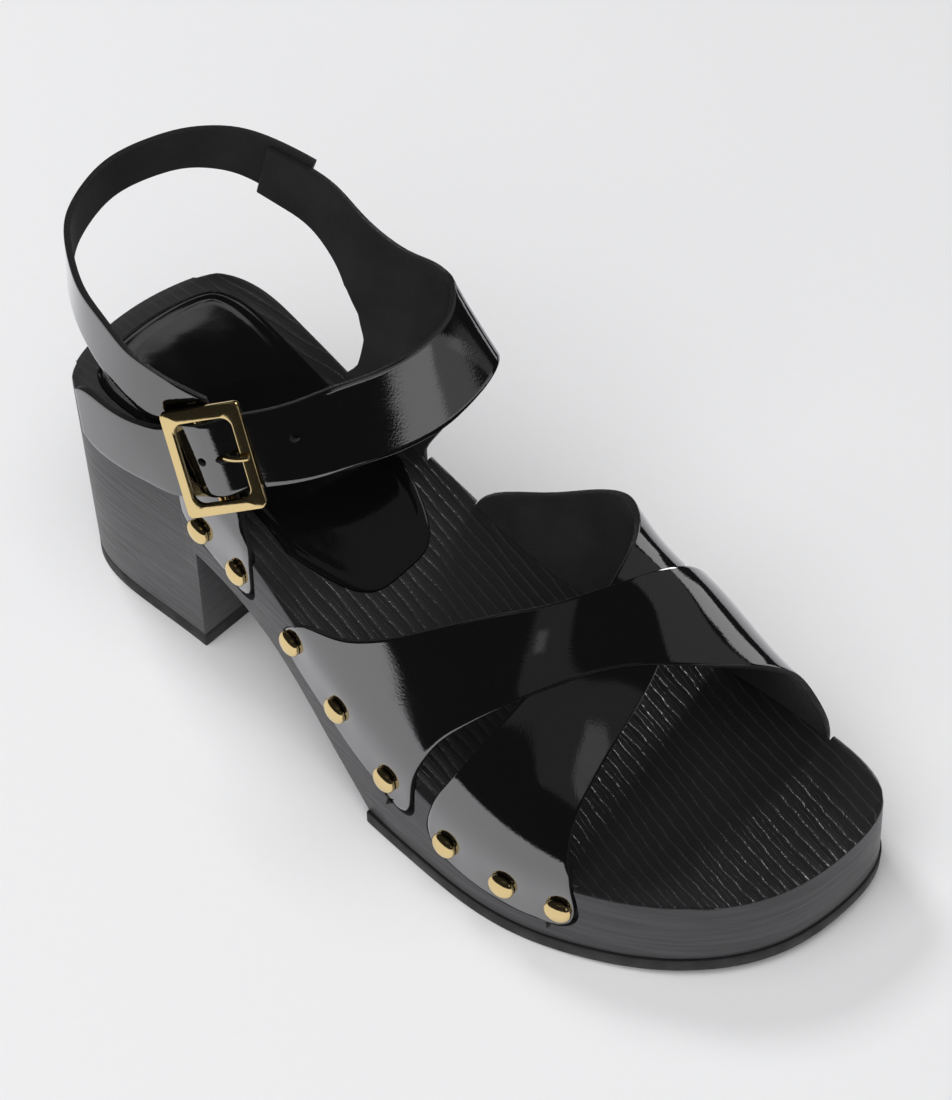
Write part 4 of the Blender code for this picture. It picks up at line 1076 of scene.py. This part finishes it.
def add_grain_map(item):
    """UV map in metres whose first axis runs along the grain, round the walls too."""
    mesh = item.data
    samples = np.linspace(ROW_LENGTHS[0], ROW_LENGTHS[-1], GRAIN_SAMPLES)
    ring = to_model(with_height(OUTLINE(samples), samples * 0))[:, :2]
    points = get_points(item)
    nearest = np.empty(len(points))
    for start in range(0, len(points), GRAIN_CHUNK):
        chunk = slice(start, start + GRAIN_CHUNK)
        away = ((points[chunk, None, :2] - ring[None]) ** 2).sum(axis=-1)
        nearest[chunk] = samples[np.argmin(away, axis=1)] * MM
    uv = mesh.uv_layers.new(name="grain")
    vertex = np.empty(len(mesh.loops), int)
    mesh.loops.foreach_get("vertex_index", vertex)
    coords = np.empty((len(mesh.loops), 2))
    for face in mesh.polygons:
        loops = slice(face.loop_start, face.loop_start + face.loop_total)
        corners = vertex[loops]
        if abs(face.normal.z) > UPWARDS:
            shoe = to_shoe(points[corners])
            coords[loops, 0] = shoe[:, 0] * MM
            coords[loops, 1] = (shoe[:, 1] + grain_sway(shoe[:, 0], shoe[:, 1])) * MM
        elif abs(face.normal.x) > BREAST_FACING and on_breast(face.center):
            coords[loops] = points[corners][:, 1:]
        else:
            around = nearest[corners]
            if around.max() - around.min() > SEAM_JUMP * MM:
                before = around < around.max() - SEAM_JUMP * MM
                around = np.where(before, around + ROUND * MM, around)
            coords[loops, 0] = around
            coords[loops, 1] = points[corners][:, 2]
    uv.data.foreach_set("uv", coords.ravel())


class SANDAL_OT_sole(bpy.types.Operator):
    """Grained clog sole with its block heel, strap recesses and sock pocket"""

    bl_idname = "sandal.sole"
    bl_label = "Clog Sole"

    def execute(self, context):
        sizes = context.scene.sandal_sizes
        columns = sole_columns(0, SPRING_END)
        steps = fine_steps(columns, SOLE_CELL)
        across = rows_across(SOLE_BORDER, SOLE_ROWS)
        plan, _stations = plan_table(columns, steps, across, None, True, True)
        top = with_height(plan, footbed_z(plan[..., 0]) - dish(across))
        foot, stations = plan_table(columns, steps, across, wall_flare, True, True)
        bottom = with_height(foot, underside_z(stations))
        sole = slab("grained_sole", bottom, top)
        self.round_edges(sole, sizes.rim_rounding, True)
        self.round_edges(sole, sizes.foot_rounding, False)
        pocket = slab(
            "sock_pocket", *sock_tables(GAP, -SOCK_SUNK - GAP, RECESS_RISE, POCKET_CELL, POCKET_ROWS))
        cut(sole, [pocket] + recess_tools())
        self.raise_ribs(sole, sizes)
        add_grain_map(sole)
        smooth(sole)
        dress(sole, "sole", finish("grain"), finish("footbed"))
        self.mark_footbed(sole)
        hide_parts("clog_sole")
        return {"FINISHED"}

    def round_edges(self, sole, width, rim):
        """Bevel the sharp edges of the footbed's rim, or all those left below it."""
        edit(sole)
        bpy.ops.mesh.select_all(action="DESELECT")
        bpy.ops.mesh.select_mode(type="EDGE")
        bpy.ops.mesh.edges_select_sharp(sharpness=math.radians(SHARP_EDGE))
        leave_edit()
        shoe = to_shoe(get_points(sole))
        on_top = shoe[:, 2] > footbed_z(shoe[:, 0]) - RIM_NEAR
        for edge in sole.data.edges:
            first, second = edge.vertices
            edge.select = edge.select and bool(on_top[first] and on_top[second]) == rim
        edit_only(sole)
        bpy.ops.mesh.bevel(offset=width, segments=RIM_SEGMENTS, affect="EDGES", clamp_overlap=False)
        leave_edit()

    def raise_ribs(self, sole, sizes):
        """Raise the grain's ribs on the open footbed."""
        points = get_points(sole)
        facing = np.empty(len(points) * 3)
        sole.data.vertices.foreach_get("normal", facing)
        upwards = facing.reshape(-1, 3)[:, 2] > RIB_FACING
        x, y, z = to_shoe(points).T
        on_footbed = upwards & (np.abs(z - footbed_height(x, y)) < RIB_NEAR)
        from_lateral, from_medial = y - rim_y(x, LATERAL), rim_y(x, MEDIAL) - y
        fade = ease(np.minimum(from_lateral, from_medial), *RIM_FADE) * ease(x, *HEEL_FADE)
        in_corner = ease(x, *SMOOTH_CORNER_ALONG) * (1 - ease(from_medial, *SMOOTH_CORNER_ACROSS))
        rib = rib_height(x, y, sizes.rib_pitch / MM) - RIB_MEAN
        points[:, 2] += np.where(on_footbed, sizes.rib_depth * rib * fade * (1 - in_corner), 0.0)
        set_points(sole, points)

    def mark_footbed(self, sole):
        """Give the footbed's faces the ribbed finish."""
        x, y, z = to_shoe([face.center for face in sole.data.polygons]).T
        for face, away in zip(sole.data.polygons, np.abs(z - footbed_height(x, y))):
            face.material_index = int(away < FOOTBED_NEAR and face.normal.z > UPWARDS)


class SANDAL_OT_treads(bpy.types.Operator):
    """Rubber forefoot outsole and heel lift"""

    bl_idname = "sandal.treads"
    bl_label = "Rubber Treads"

    def execute(self, context):
        columns = sole_columns(OUTSOLE_START, SPRING_END)
        outsole = self.make_tread(
            "forefoot_tread", columns, OUTSOLE_THICKNESS, FOREFOOT_GROOVE,
            flare=lambda x: x * 0 + OUTSOLE_LEDGE, toe=True)
        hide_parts("forefoot_outsole")
        columns = sole_columns(0, BREAST_FOOT)
        lift = self.make_tread(
            "heel_top_piece", columns, LIFT_THICKNESS, HEEL_GROOVE, flare=wall_flare, heel=True)
        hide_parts("heel_lift")
        return {"FINISHED"}

    def make_tread(self, name, columns, thickness, groove, **plan_form):
        """Slab of rubber under the sole, grooved underneath."""
        across = rows_across(TREAD_BORDER, TREAD_ROWS)
        steps = fine_steps(columns, TREAD_CELL)
        plan, stations = plan_table(columns, steps, across, **plan_form)
        ground = ground_z(stations)
        bottom = with_height(plan, ground + groove * self.grooves(plan, steps, across))
        top = with_height(plan, ground + thickness + GAP - TREAD_CLEARANCE)
        item = slab(name, bottom, top)
        add_bevel(item, TREAD_ROUNDING * MM)
        settle(item)
        smooth(item)
        dress(item, "rubber", finish("rubber"))
        return item

    def grooves(self, plan, steps, across):
        """Wavy grooves away from the tread's edges, 1 at their deepest."""
        x, y = plan[..., 0], plan[..., 1]
        turns = (x + GROOVE_WAVE * np.sin(y / GROOVE_WAVE_LENGTH)) / GROOVE_PITCH
        from_crest = np.abs(np.mod(turns, 1.0) - 0.5) * 2
        from_side = ease(np.minimum(across, 1 - across), *GROOVE_SIDE_FADE)[None]
        from_end = ease(np.minimum(steps, steps[-1] - steps), *GROOVE_END_FADE)[:, None]
        return ease(from_crest, *GROOVE_WALL) * from_side * from_end


class SANDAL_OT_sock(bpy.types.Operator):
    """Glossy padded heel sock with a pressed border"""

    bl_idname = "sandal.sock"
    bl_label = "Heel Sock"

    def execute(self, context):
        bottom, top = sock_tables(0.0, -SOCK_SUNK, SOCK_PROUD, SOCK_CELL, SOCK_ROWS)
        plan = top[..., :2]
        ring = np.concatenate([plan[0], plan[:, -1], plan[-1, ::-1], plan[::-1, 0]])
        away = np.empty(plan.shape[:2])
        for k, row in enumerate(plan):
            away[k] = np.sqrt(((row[:, None] - ring[None]) ** 2).sum(axis=-1)).min(axis=1)
        crown = SOCK_CROWN * ease(away, 0.0, SOCK_CROWN_REACH)
        border = SOCK_BORDER_DEPTH * np.exp(-((away - SOCK_BORDER_AT) / SOCK_BORDER_WIDTH) ** 2)
        edge = SOCK_EDGE_DROP * (1 - ease(away, 0.0, SOCK_EDGE_REACH))
        top[..., 2] += crown - border - edge
        sock = slab("heel_sock_pad", bottom, top)
        add_bevel(sock, SOCK_EDGE_ROUNDING * MM)
        settle(sock)
        smooth(sock)
        dress(sock, "sock", finish("sock"))
        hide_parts("heel_sock")
        return {"FINISHED"}


# Straps

def last_curves():
    """Arch height and medial bulge of the last along the foot."""
    stations, heights, bulges = zip(*VAMP_LAST)
    return spline(stations, heights), spline(stations, bulges)


last_height, last_bulge = last_curves()


def vamp_row(x, girth):
    """Inner face of the vamp at one girth: lateral wall, over the last, or medial wall."""
    if girth < 0:
        return leather_point(x, LATERAL, -girth * END_DEPTH)
    if girth > 1:
        return leather_point(x, MEDIAL, (girth - 1) * END_DEPTH)
    height = last_height(x)
    low, high = LAST_SHOULDERS
    start, end = wall_point(x, LATERAL, 0.0), wall_point(x, MEDIAL, 0.0)
    nought = x * 0
    rise = start + np.stack((nought, nought + LAST_LEAN, height * low), axis=-1)
    fall = end + np.stack((nought, last_bulge(x), height * high), axis=-1)
    rest = 1 - girth
    shoulder = 3 * girth * rest ** 2 * rise + 3 * girth ** 2 * rest * fall
    return rest ** 3 * start + shoulder + girth ** 3 * end


def strap_girths():
    """Girths of a vamp strap's columns, closer together at its rounded ends."""
    ends = np.linspace(0, 1, WALL_CELLS + 1)[:-1] ** END_CROWDING
    arch = np.linspace(0, 1, ARCH_CELLS + 1)
    return np.concatenate([ends - 1, arch, 2 - ends[::-1]])


def table_normals(table):
    """Unit normals of a table of points."""
    along = np.gradient(table, axis=0)
    across = np.gradient(table, axis=1)
    return unit(np.cross(along, across))


def pressed(table, outwards):
    """Table of leather points drawn in round the studs."""
    table = table.copy()
    for side, x, depth in STUDS:
        place = leather_point(x, side, depth)
        away = np.linalg.norm(table - place, axis=-1)
        table -= outwards * (DIMPLE_DEPTH * np.exp(-(away / DIMPLE_RADIUS) ** 2))[..., None]
    return table


def finish_leather(item, sizes, *faces):
    """Thickness and soft cut edges of a leather sheet, with its finishes from the sheet's own face."""
    leather = item.modifiers.new("Leather", "SOLIDIFY")
    leather.thickness = sizes.leather
    leather.offset = -1
    leather.material_offset_rim = 1
    leather.material_offset = 2
    add_bevel(item, sizes.edge_rounding)
    dress(item, "patent", *(finish(name) for name in faces))
    settle(item)
    smooth(item)


class SANDAL_OT_vamp(bpy.types.Operator):
    """The two crossing vamp straps"""

    bl_idname = "sandal.vamp"
    bl_label = "Vamp Straps"

    def execute(self, context):
        sizes = context.scene.sandal_sizes
        girths = strap_girths()
        rise_from, rise_to, fall_from, fall_to = CROSSING
        climb = ease(girths, rise_from, rise_to) - ease(girths, fall_from, fall_to)
        from_bulge = np.clip(np.abs(girths - UNDER_BULGE_AT) / UNDER_BULGE_REACH, 0, 1)
        bulge = UNDER_BULGE * np.cos(from_bulge * math.pi / 2) ** 2
        for name, strap, lift in (
                ("under_vamp_strap", UNDER_STRAP, bulge),
                ("over_vamp_strap", OVER_STRAP, climb * (LEATHER + OVER_CLEARANCE))):
            item = sheet(name, self.strap_table(strap, girths, lift))
            turn_over(item)
            finish_leather(item, sizes, "patent", "cut_edge", "lining")
            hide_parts("vamp_straps")
        return {"FINISHED"}

    def strap_table(self, strap, girths, lift):
        """Outer face of a strap, girth by width."""
        edges = strap_edges(strap)
        across = np.linspace(0, 1, STRAP_ROWS + 1)
        rows = []
        for girth in girths:
            rear, front = edges(girth)
            inset = corner_inset(END_DEPTH * min(1 + girth, 2 - girth), CORNER_RADIUS)
            rows.append(vamp_row(mix(rear + inset, front - inset, across), girth))
        inner = np.array(rows)
        out = -table_normals(inner)
        table = inner + out * (LEATHER + lift)[:, None, None]
        table = smoothed(table, STRAP_PASSES, STRAP_PINNED)
        return pressed(table, -table_normals(table))


def buckle_point(along, across, out):
    """Point from the buckle's own axes."""
    return BUCKLE_FRONT + STRAP_AXIS * along + WIDTH_AXIS * across + OUT_AXIS * out


def buckle_row(along, out):
    """Row of the ankle strap inside the buckle."""
    half = ANKLE_WIDTH / 2
    return Row(buckle_point(along, -half, out), buckle_point(along, half, out))


def band(rows):
    """Fine table of a band ruled between smooth edges, and the column of each row."""
    lower, upper, _tabs = zip(*rows)
    lengths = (chord_lengths(lower) + chord_lengths(upper)) / 2
    stations, row_columns = [], []
    for start, end in zip(lengths[:-1], lengths[1:]):
        row_columns.append(len(stations))
        cells = max(1, int(round((end - start) / ANKLE_CELL)))
        stations += [mix(start, end, k / cells) for k in range(cells)]
    row_columns.append(len(stations))
    stations = np.array(stations + [lengths[-1]])
    low, high = monotone(lengths, lower)(stations), monotone(lengths, upper)(stations)
    across = np.linspace(0, 1, ANKLE_ROWS + 1)
    table = mix(low[:, None], high[:, None], across[None, :, None])
    return smoothed(table, ANKLE_PASSES), row_columns


def tab_table(table, columns, side):
    """Table of a tab drawn down from a band's lower edge into its recess."""
    starts = table[columns, 0]
    above = table[columns, TAB_FROM_ROW]
    if starts[0, 0] > starts[-1, 0]:
        starts, above, columns = starts[::-1], above[::-1], columns[::-1]
    rear, front = QUARTER_FOOT[side]
    share = np.linspace(0, 1, len(columns))
    ways = [above, starts]
    rim = wall_point(mix(rear, front, share), side, 0.0)
    for down in TAB_SHARES:
        level = mix(starts, rim, down)
        level[:, 0] += TAB_WAIST[side] * (1 - share) ** 2 * math.sin(math.pi * down)
        ways.append(level)
    for row in TAB_ROWS:
        depth = TAB_DEPTH[side] * row
        inset = corner_inset(TAB_DEPTH[side] - depth, CORNER_RADIUS)
        ways.append(leather_point(mix(rear + inset, front - inset, share), side, depth))
    ways = np.array(ways)
    fine = np.linspace(0, 1, TAB_CELLS + 1)
    made = []
    for way in ways.swapaxes(0, 1):
        lengths = chord_lengths(way)
        made.append(monotone(lengths, way)(mix(lengths[1], lengths[-1], fine)))
    return np.array(made)


def hang_tab(item, table, rows, row_columns, side):
    """Join a tab to the band that it hangs from."""
    marked = [column for column, row in zip(row_columns, rows) if row.tab == side]
    columns = np.arange(marked[0], marked[-1] + 1)
    points = tab_table(table, columns, side)
    points = pressed(points, np.broadcast_to(np.array((0.0, side, 0.0)), points.shape))
    tab = sheet(item.name + "_tab", points)
    return join([item, tab], item.name)


def weld(item):
    """Merge the seams of joined sheets and face them all one way."""
    edit(item)
    bpy.ops.mesh.remove_doubles(threshold=WELD * MM)
    leave_facing_out()


def soften_corner(item, corner):
    """Ease the edge where a tab leaves its band."""
    away = np.linalg.norm(get_points(item) - to_model(corner), axis=1)
    edit(item)
    bpy.ops.mesh.select_mode(type="VERT")
    bpy.ops.mesh.select_all(action="DESELECT")
    leave_edit()
    for vertex, distance in zip(item.data.vertices, away):
        vertex.select = bool(distance < CORNER_REACH * MM)
    edit_only(item)
    bpy.ops.mesh.vertices_smooth(factor=CORNER_FACTOR, repeat=CORNER_REPEATS)
    leave_edit()


def face_inwards(item, side):
    """Turn a band over unless it faces the foot, judged at one place on its side."""
    place, inwards = INWARDS[side]
    points = np.array([face.center for face in item.data.polygons])
    nearest = int(np.argmin(np.linalg.norm(points - to_model(place), axis=1)))
    if item.data.polygons[nearest].normal.dot(Vector(inwards)) < 0:
        turn_over(item)


class SANDAL_OT_ankle(bpy.types.Operator):
    """Buckled ankle strap with the medial quarter, and the heel strap sewn to it"""

    bl_idname = "sandal.ankle"
    bl_label = "Ankle Strap"

    def execute(self, context):
        sizes = context.scene.sandal_sizes
        through = [buckle_row(*station) for station in STRAP_IN_BUCKLE]
        under_buckle = [
            Row(buckle_point(*lower), buckle_point(*upper), LATERAL)
            for lower, upper in QUARTER_UNDER_BUCKLE]
        strap_rows = [*TAIL_ROWS, *through, *INSTEP_ROWS, *MEDIAL_ROWS, HEEL_ROWS[0], QUARTER_END]
        heel_rows = [HEEL_STRAP_END, *HEEL_ROWS, *under_buckle]
        strap = self.make_band("ankle_strap", strap_rows[::-1], MEDIAL, sizes)
        self.punch(strap, sizes)
        self.make_band("heel_strap", heel_rows[::-1], LATERAL, sizes)
        return {"FINISHED"}

    def make_band(self, name, rows, side, sizes):
        """Band of leather with its tab, thickened outwards from its inner face."""
        table, row_columns = band(rows)
        if name == "heel_strap":
            table = self.lap_over(table)
        item = hang_tab(sheet(name, table), table, rows, row_columns, side)
        weld(item)
        if side == MEDIAL:
            soften_corner(item, TAB_CORNER)
        face_inwards(item, side)
        finish_leather(item, sizes, "lining", "cut_edge", "patent")
        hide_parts("ankle_straps")
        return item

    def lap_over(self, table):
        """Move the heel strap's sewn end outside the quarter, a little higher than it."""
        length = chord_lengths(table[:, 0])
        left = length[-1] - length
        weight = (1 - ease(left, SEAM_LAP, SEAM_EASE))[:, None, None]
        higher = unit(table[:, -1:] - table[:, :1])
        outwards = -table_normals(table)
        return table + (outwards * (LEATHER + SEAM_CLEARANCE) + higher * SEAM_SHIFT) * weight

    def punch(self, strap, sizes):
        """Punch the prong's slot and the spare holes."""
        slot = add_cylinder(HOLE_SIDES, PRONG_SLOT_WIDTH / 2 * MM, PRONG_SLOT_DEPTH * MM)
        edit(slot)
        stretch = (PRONG_SLOT_TO - PRONG_SLOT_FROM) / PRONG_SLOT_WIDTH
        bpy.ops.transform.resize(value=(1, stretch, 1))
        leave_edit()
        slot.data.transform(buckle_matrix((PRONG_SLOT_FROM + PRONG_SLOT_TO) / 2, 0.0, 0.0))
        tools = [slot]
        for along, out in HOLES:
            hole = add_cylinder(HOLE_SIDES, sizes.hole_radius, HOLE_DEPTH * MM)
            hole.data.transform(buckle_matrix(along, 0.0, out))
            tools.append(hole)
        cut(strap, tools)
        smooth(strap)


# Buckle and studs

def buckle_matrix(along, across, out):
    """Matrix of a piece set in the buckle's axes."""
    place = Vector(to_model(buckle_point(along, across, out)))
    axes = Matrix((WIDTH_AXIS, STRAP_AXIS, OUT_AXIS)).transposed()
    return Matrix.Translation(place) @ axes.to_4x4()


def rounded_plate(name, half_width, start, end, radius):
    """Outline of a plate with round corners."""
    bpy.ops.object.select_all(action="DESELECT")
    bpy.ops.mesh.primitive_plane_add(size=1)
    plate = bpy.context.active_object
    plate.name = name
    edit(plate)
    bpy.ops.transform.resize(value=(2 * half_width * MM, (end - start) * MM, 1))
    bpy.ops.transform.translate(value=(0, (start + end) / 2 * MM, 0))
    bpy.ops.mesh.bevel(
        offset=radius * MM, segments=PLATE_SEGMENTS, affect="VERTICES", clamp_overlap=False)
    bpy.ops.mesh.select_all(action="SELECT")
    bpy.ops.mesh.delete(type="ONLY_FACE")
    leave_edit()
    return plate


class SANDAL_OT_buckle(bpy.types.Operator):
    """Gold buckle frame with its centre bar and prong"""

    bl_idname = "sandal.buckle"
    bl_label = "Buckle"

    def execute(self, context):
        half = FRAME_WIDTH / 2
        outer = rounded_plate("frame_outline", half, 0.0, FRAME_LENGTH, OUTER_CORNER)
        inner = rounded_plate(
            "frame_opening", half - FRAME_SIDE, FRAME_BAR, FRAME_LENGTH - FRAME_BAR, INNER_CORNER)
        ring = join([outer, inner], "gold_buckle_frame")
        edit(ring)
        bpy.ops.mesh.bridge_edge_loops()
        bpy.ops.mesh.select_all(action="SELECT")
        bpy.ops.mesh.extrude_region_move(TRANSFORM_OT_translate={"value": (0, 0, FRAME_THICKNESS * MM)})
        leave_facing_out()
        add_bevel(ring, FRAME_ROUNDING * MM, FRAME_SEGMENTS)
        settle(ring)
        self.bend_frame(ring)
        ring.data.transform(buckle_matrix(0.0, 0.0, 0.0))
        bar = self.centre_bar(half - FRAME_SIDE)
        ring = join([ring, bar], "gold_buckle_frame")
        smooth(ring, CRISP_GOLD)
        dress(ring, "gold", finish("gold"))
        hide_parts("buckle_frame")
        self.make_prong()
        return {"FINISHED"}

    def bend_frame(self, ring):
        """Curve the frame round the ankle and roll its face up a little."""
        points = get_points(ring)
        along = points[:, 1] / MM - FRAME_LENGTH / 2
        sag = along ** 2 / (2 * FRAME_BEND)
        points[:, 2] += (FRAME_LIFT - sag) * MM - points[:, 0] * math.tan(math.radians(FRAME_ROLL))
        set_points(ring, points)

    def centre_bar(self, inner):
        """Round bar across the frame's back."""
        length = (2 * inner + FRAME_SIDE) * MM
        bar = add_cylinder(BAR_SIDES, CENTRE_BAR_RADIUS * MM, length, (0, math.pi / 2, 0))
        add_bevel(bar, BAR_ROUNDING * MM, BAR_SEGMENTS)
        settle(bar)
        bar.data.transform(buckle_matrix(CENTRE_BAR_AT, 0.0, CENTRE_BAR_DROP))
        return bar

    def make_prong(self):
        """Prong swept along its path, with a round tip."""
        path = np.array(PRONG_PATH)
        lengths = chord_lengths(path)
        at = np.linspace(0, lengths[-1], PRONG_STEPS)
        way = spline(lengths, path)(at)
        ends = self.rounded(lengths[-1] - at, PRONG_TIP) * self.rounded(at, PRONG_ROOT)
        radius = PRONG_RADIUS * ends * mix(*PRONG_TAPER, at / lengths[-1])
        turn = np.linspace(0, 2 * math.pi, PRONG_SIDES + 1)
        table = np.empty((PRONG_STEPS, PRONG_SIDES + 1, 3))
        for k, (ahead_along, ahead_out) in enumerate(unit(np.gradient(way, axis=0))):
            across = np.cos(turn) * radius[k]
            lift = np.sin(turn) * radius[k]
            along, out = way[k, 0] - ahead_out * lift, way[k, 1] + ahead_along * lift
            table[k] = [buckle_point(*place) for place in zip(along, across, out)]
        prong = sheet("gold_prong", table)
        edit(prong)
        bpy.ops.mesh.remove_doubles(threshold=WELD / 2 * MM)
        bpy.ops.mesh.select_all(action="DESELECT")
        bpy.ops.mesh.select_non_manifold()
        bpy.ops.mesh.fill_holes(sides=0)
        leave_facing_out()
        smooth(prong, CRISP_PRONG)
        dress(prong, "gold", finish("gold"))
        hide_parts("buckle_prong")

    def rounded(self, left, reach):
        """Share of the prong's full radius this far from a round end."""
        inside = np.clip(1 - left / reach, 0, 1)
        return np.sqrt(np.clip(1 - inside ** 2, PRONG_LEAST, 1))


class SANDAL_OT_studs(bpy.types.Operator):
    """Domed gold studs along the strap ends"""

    bl_idname = "sandal.studs"
    bl_label = "Studs"

    def execute(self, context):
        sizes = context.scene.sandal_sizes
        dome = self.make_dome(sizes)
        counts = {LATERAL: 0, MEDIAL: 0}
        for side, x, depth in STUDS:
            counts[side] += 1
            number = f"{SIDE_NAMES[side]}_{counts[side]}"
            stud = dome.copy()
            stud.data = dome.data.copy()
            stud.name = stud.data.name = "dome_" + number
            context.scene.collection.objects.link(stud)
            stud.data.transform(self.stud_matrix(x, side, depth))
            dress(stud, "gold", finish("gold"))
            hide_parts("stud_" + number)
        bpy.data.objects.remove(dome, do_unlink=True)
        return {"FINISHED"}

    def make_dome(self, sizes):
        """One dome: the upper half of a ball, flattened, with a turned-in foot."""
        bpy.ops.object.select_all(action="DESELECT")
        bpy.ops.mesh.primitive_uv_sphere_add(
            segments=STUD_SIDES, ring_count=STUD_RINGS, radius=sizes.stud_radius)
        dome = bpy.context.active_object
        edit(dome)
        bpy.ops.mesh.bisect(plane_co=(0, 0, 0), plane_no=(0, 0, 1), use_fill=True, clear_inner=True)
        bpy.ops.mesh.select_all(action="SELECT")
        rise = (sizes.stud_height - STUD_FOOT * MM) / sizes.stud_radius
        bpy.ops.transform.resize(value=(1, 1, rise))
        bpy.ops.transform.translate(value=(0, 0, STUD_FOOT * MM))
        bpy.ops.mesh.select_all(action="DESELECT")
        bpy.ops.mesh.select_mode(type="FACE")
        leave_edit()
        for face in dome.data.polygons:
            face.select = face.normal.z < STUD_UNDERSIDE
        edit_only(dome)
        bpy.ops.mesh.extrude_region_move(TRANSFORM_OT_translate={"value": (0, 0, -STUD_SKIRT * MM)})
        bpy.ops.transform.resize(value=(STUD_TURNED_IN, STUD_TURNED_IN, 1))
        leave_facing_out()
        smooth(dome, CRISP_GOLD)
        return dome

    def stud_matrix(self, x, side, depth):
        """Place of a stud on the leather, facing out of it."""
        foot = leather_point(x, side, depth)
        along = leather_point(x + 1, side, depth) - leather_point(x - 1, side, depth)
        down = leather_point(x, side, depth + 1) - leather_point(x, side, depth - 1)
        facing = unit(np.cross(along, down) * side)
        point = Vector(to_model(foot + facing * (LEATHER - DIMPLE_DEPTH - STUD_SUNK)))
        turn = Vector(facing).to_track_quat("Z", "Y").to_matrix().to_4x4()
        return Matrix.Translation(point) @ turn


# Stage

def turn_towards(place, aim):
    """Turn of a light or camera at a place that looks at a point."""
    return (Vector(aim) - Vector(place)).to_track_quat("-Z", "Y").to_euler()


def add_light(name, place, size, power, mirrored):
    """Soft rectangular light aimed at the shoe, seen in its gloss or not."""
    data = bpy.data.lights.new(name, "AREA")
    data.shape = "RECTANGLE"
    data.size, data.size_y = size
    data.energy = power
    item = bpy.data.objects.new(name, data)
    bpy.context.scene.collection.objects.link(item)
    item.location = place
    item.rotation_euler = turn_towards(place, CARD_AIM)
    item.visible_glossy = mirrored
    return item


def add_card(card, strength):
    """Dim card that stands round the shoe to be mirrored in its leather."""
    turn, rise = math.radians(card.azimuth), math.radians(card.elevation)
    way = Vector((math.cos(rise) * math.cos(turn), math.cos(rise) * math.sin(turn), math.sin(rise)))
    width = 2 * CARD_DISTANCE * math.tan(math.radians(card.width) / 2)
    height = 2 * CARD_DISTANCE * math.tan(math.radians(card.height) / 2)
    power = math.pi * width * height * card.radiance * strength
    item = add_light(card.name, CARD_AIM + way * CARD_DISTANCE, (width, height), power, True)
    item.visible_diffuse = False


class SANDAL_OT_stage(bpy.types.Operator):
    """Pale floor, soft studio light and the camera"""

    bl_idname = "sandal.stage"
    bl_label = "Stage"

    def execute(self, context):
        stage = context.scene.sandal_stage
        bpy.ops.object.select_all(action="DESELECT")
        bpy.ops.mesh.primitive_grid_add(
            x_subdivisions=FLOOR_CELLS, y_subdivisions=FLOOR_CELLS, size=FLOOR_SIZE)
        floor = context.active_object
        floor.name = "studio_floor"
        floor.data.materials.append(finish("floor"))
        add_light("key_softbox", KEY_PLACE, KEY_SIZE, stage.key_power, False)
        add_light("wide_fill", FILL_PLACE, FILL_SIZE, stage.fill_power, False)
        for card in CARDS:
            add_card(card, stage.cards)
        context.scene.world = self.make_room(stage)
        data = bpy.data.cameras.new("camera")
        data.lens = stage.lens
        data.sensor_width = SENSOR_WIDTH
        camera = bpy.data.objects.new("camera", data)
        context.scene.collection.objects.link(camera)
        camera.location = stage.camera
        camera.rotation_euler = turn_towards(stage.camera, stage.aim)
        context.scene.camera = camera
        context.scene.view_settings.view_transform = "Standard"
        return {"FINISHED"}

    def make_room(self, stage):
        """Dim room light, with a pale wall where the camera looks past the floor."""
        world = bpy.data.worlds.new("studio_room")
        world.use_nodes = True
        tree = world.node_tree
        room = tree.nodes["Background"]
        room.inputs["Color"].default_value = ROOM_COLOUR
        seen = add_node(tree, "ShaderNodeLightPath").outputs["Is Camera Ray"]
        tree.links.new(spread(tree, seen, stage.room, stage.wall, 0.0, 1.0), room.inputs["Strength"])
        return world


class SANDAL_PT_panel(bpy.types.Panel):
    """Builds the sandal piece by piece"""

    bl_idname = "SANDAL_PT_panel"
    bl_label = "Patent Leather Sandal"
    bl_space_type = "VIEW_3D"
    bl_region_type = "UI"
    bl_category = "Sandal"

    def draw(self, context):
        for operator in OPERATORS:
            self.layout.operator(operator.bl_idname)
        for name, group in GROUPS.items():
            for setting in group.__annotations__:
                self.layout.prop(getattr(context.scene, name), setting)


OPERATORS = (
    SANDAL_OT_stage, SANDAL_OT_sole, SANDAL_OT_treads, SANDAL_OT_sock, SANDAL_OT_vamp,
    SANDAL_OT_ankle, SANDAL_OT_buckle, SANDAL_OT_studs,
)
GROUPS = {
    "sandal_sizes": SandalSizes, "sandal_finishes": SandalFinishes, "sandal_stage": SandalStage,
}


def register():
    """Register the classes and their settings."""
    for made in (*GROUPS.values(), *OPERATORS, SANDAL_PT_panel):
        bpy.utils.register_class(made)
    for name, group in GROUPS.items():
        setattr(bpy.types.Scene, name, bpy.props.PointerProperty(type=group))


def unregister():
    """Remove the settings and the classes."""
    for name in GROUPS:
        delattr(bpy.types.Scene, name)
    for made in (SANDAL_PT_panel, *OPERATORS, *GROUPS.values()):
        bpy.utils.unregister_class(made)


def main():
    """Build the sandal and its stage."""
    register()
    bpy.ops.sandal.stage()
    bpy.ops.sandal.sole()
    bpy.ops.sandal.treads()
    bpy.ops.sandal.sock()
    bpy.ops.sandal.vamp()
    bpy.ops.sandal.ankle()
    bpy.ops.sandal.buckle()
    bpy.ops.sandal.studs()


if __name__ == "__main__":
    main()
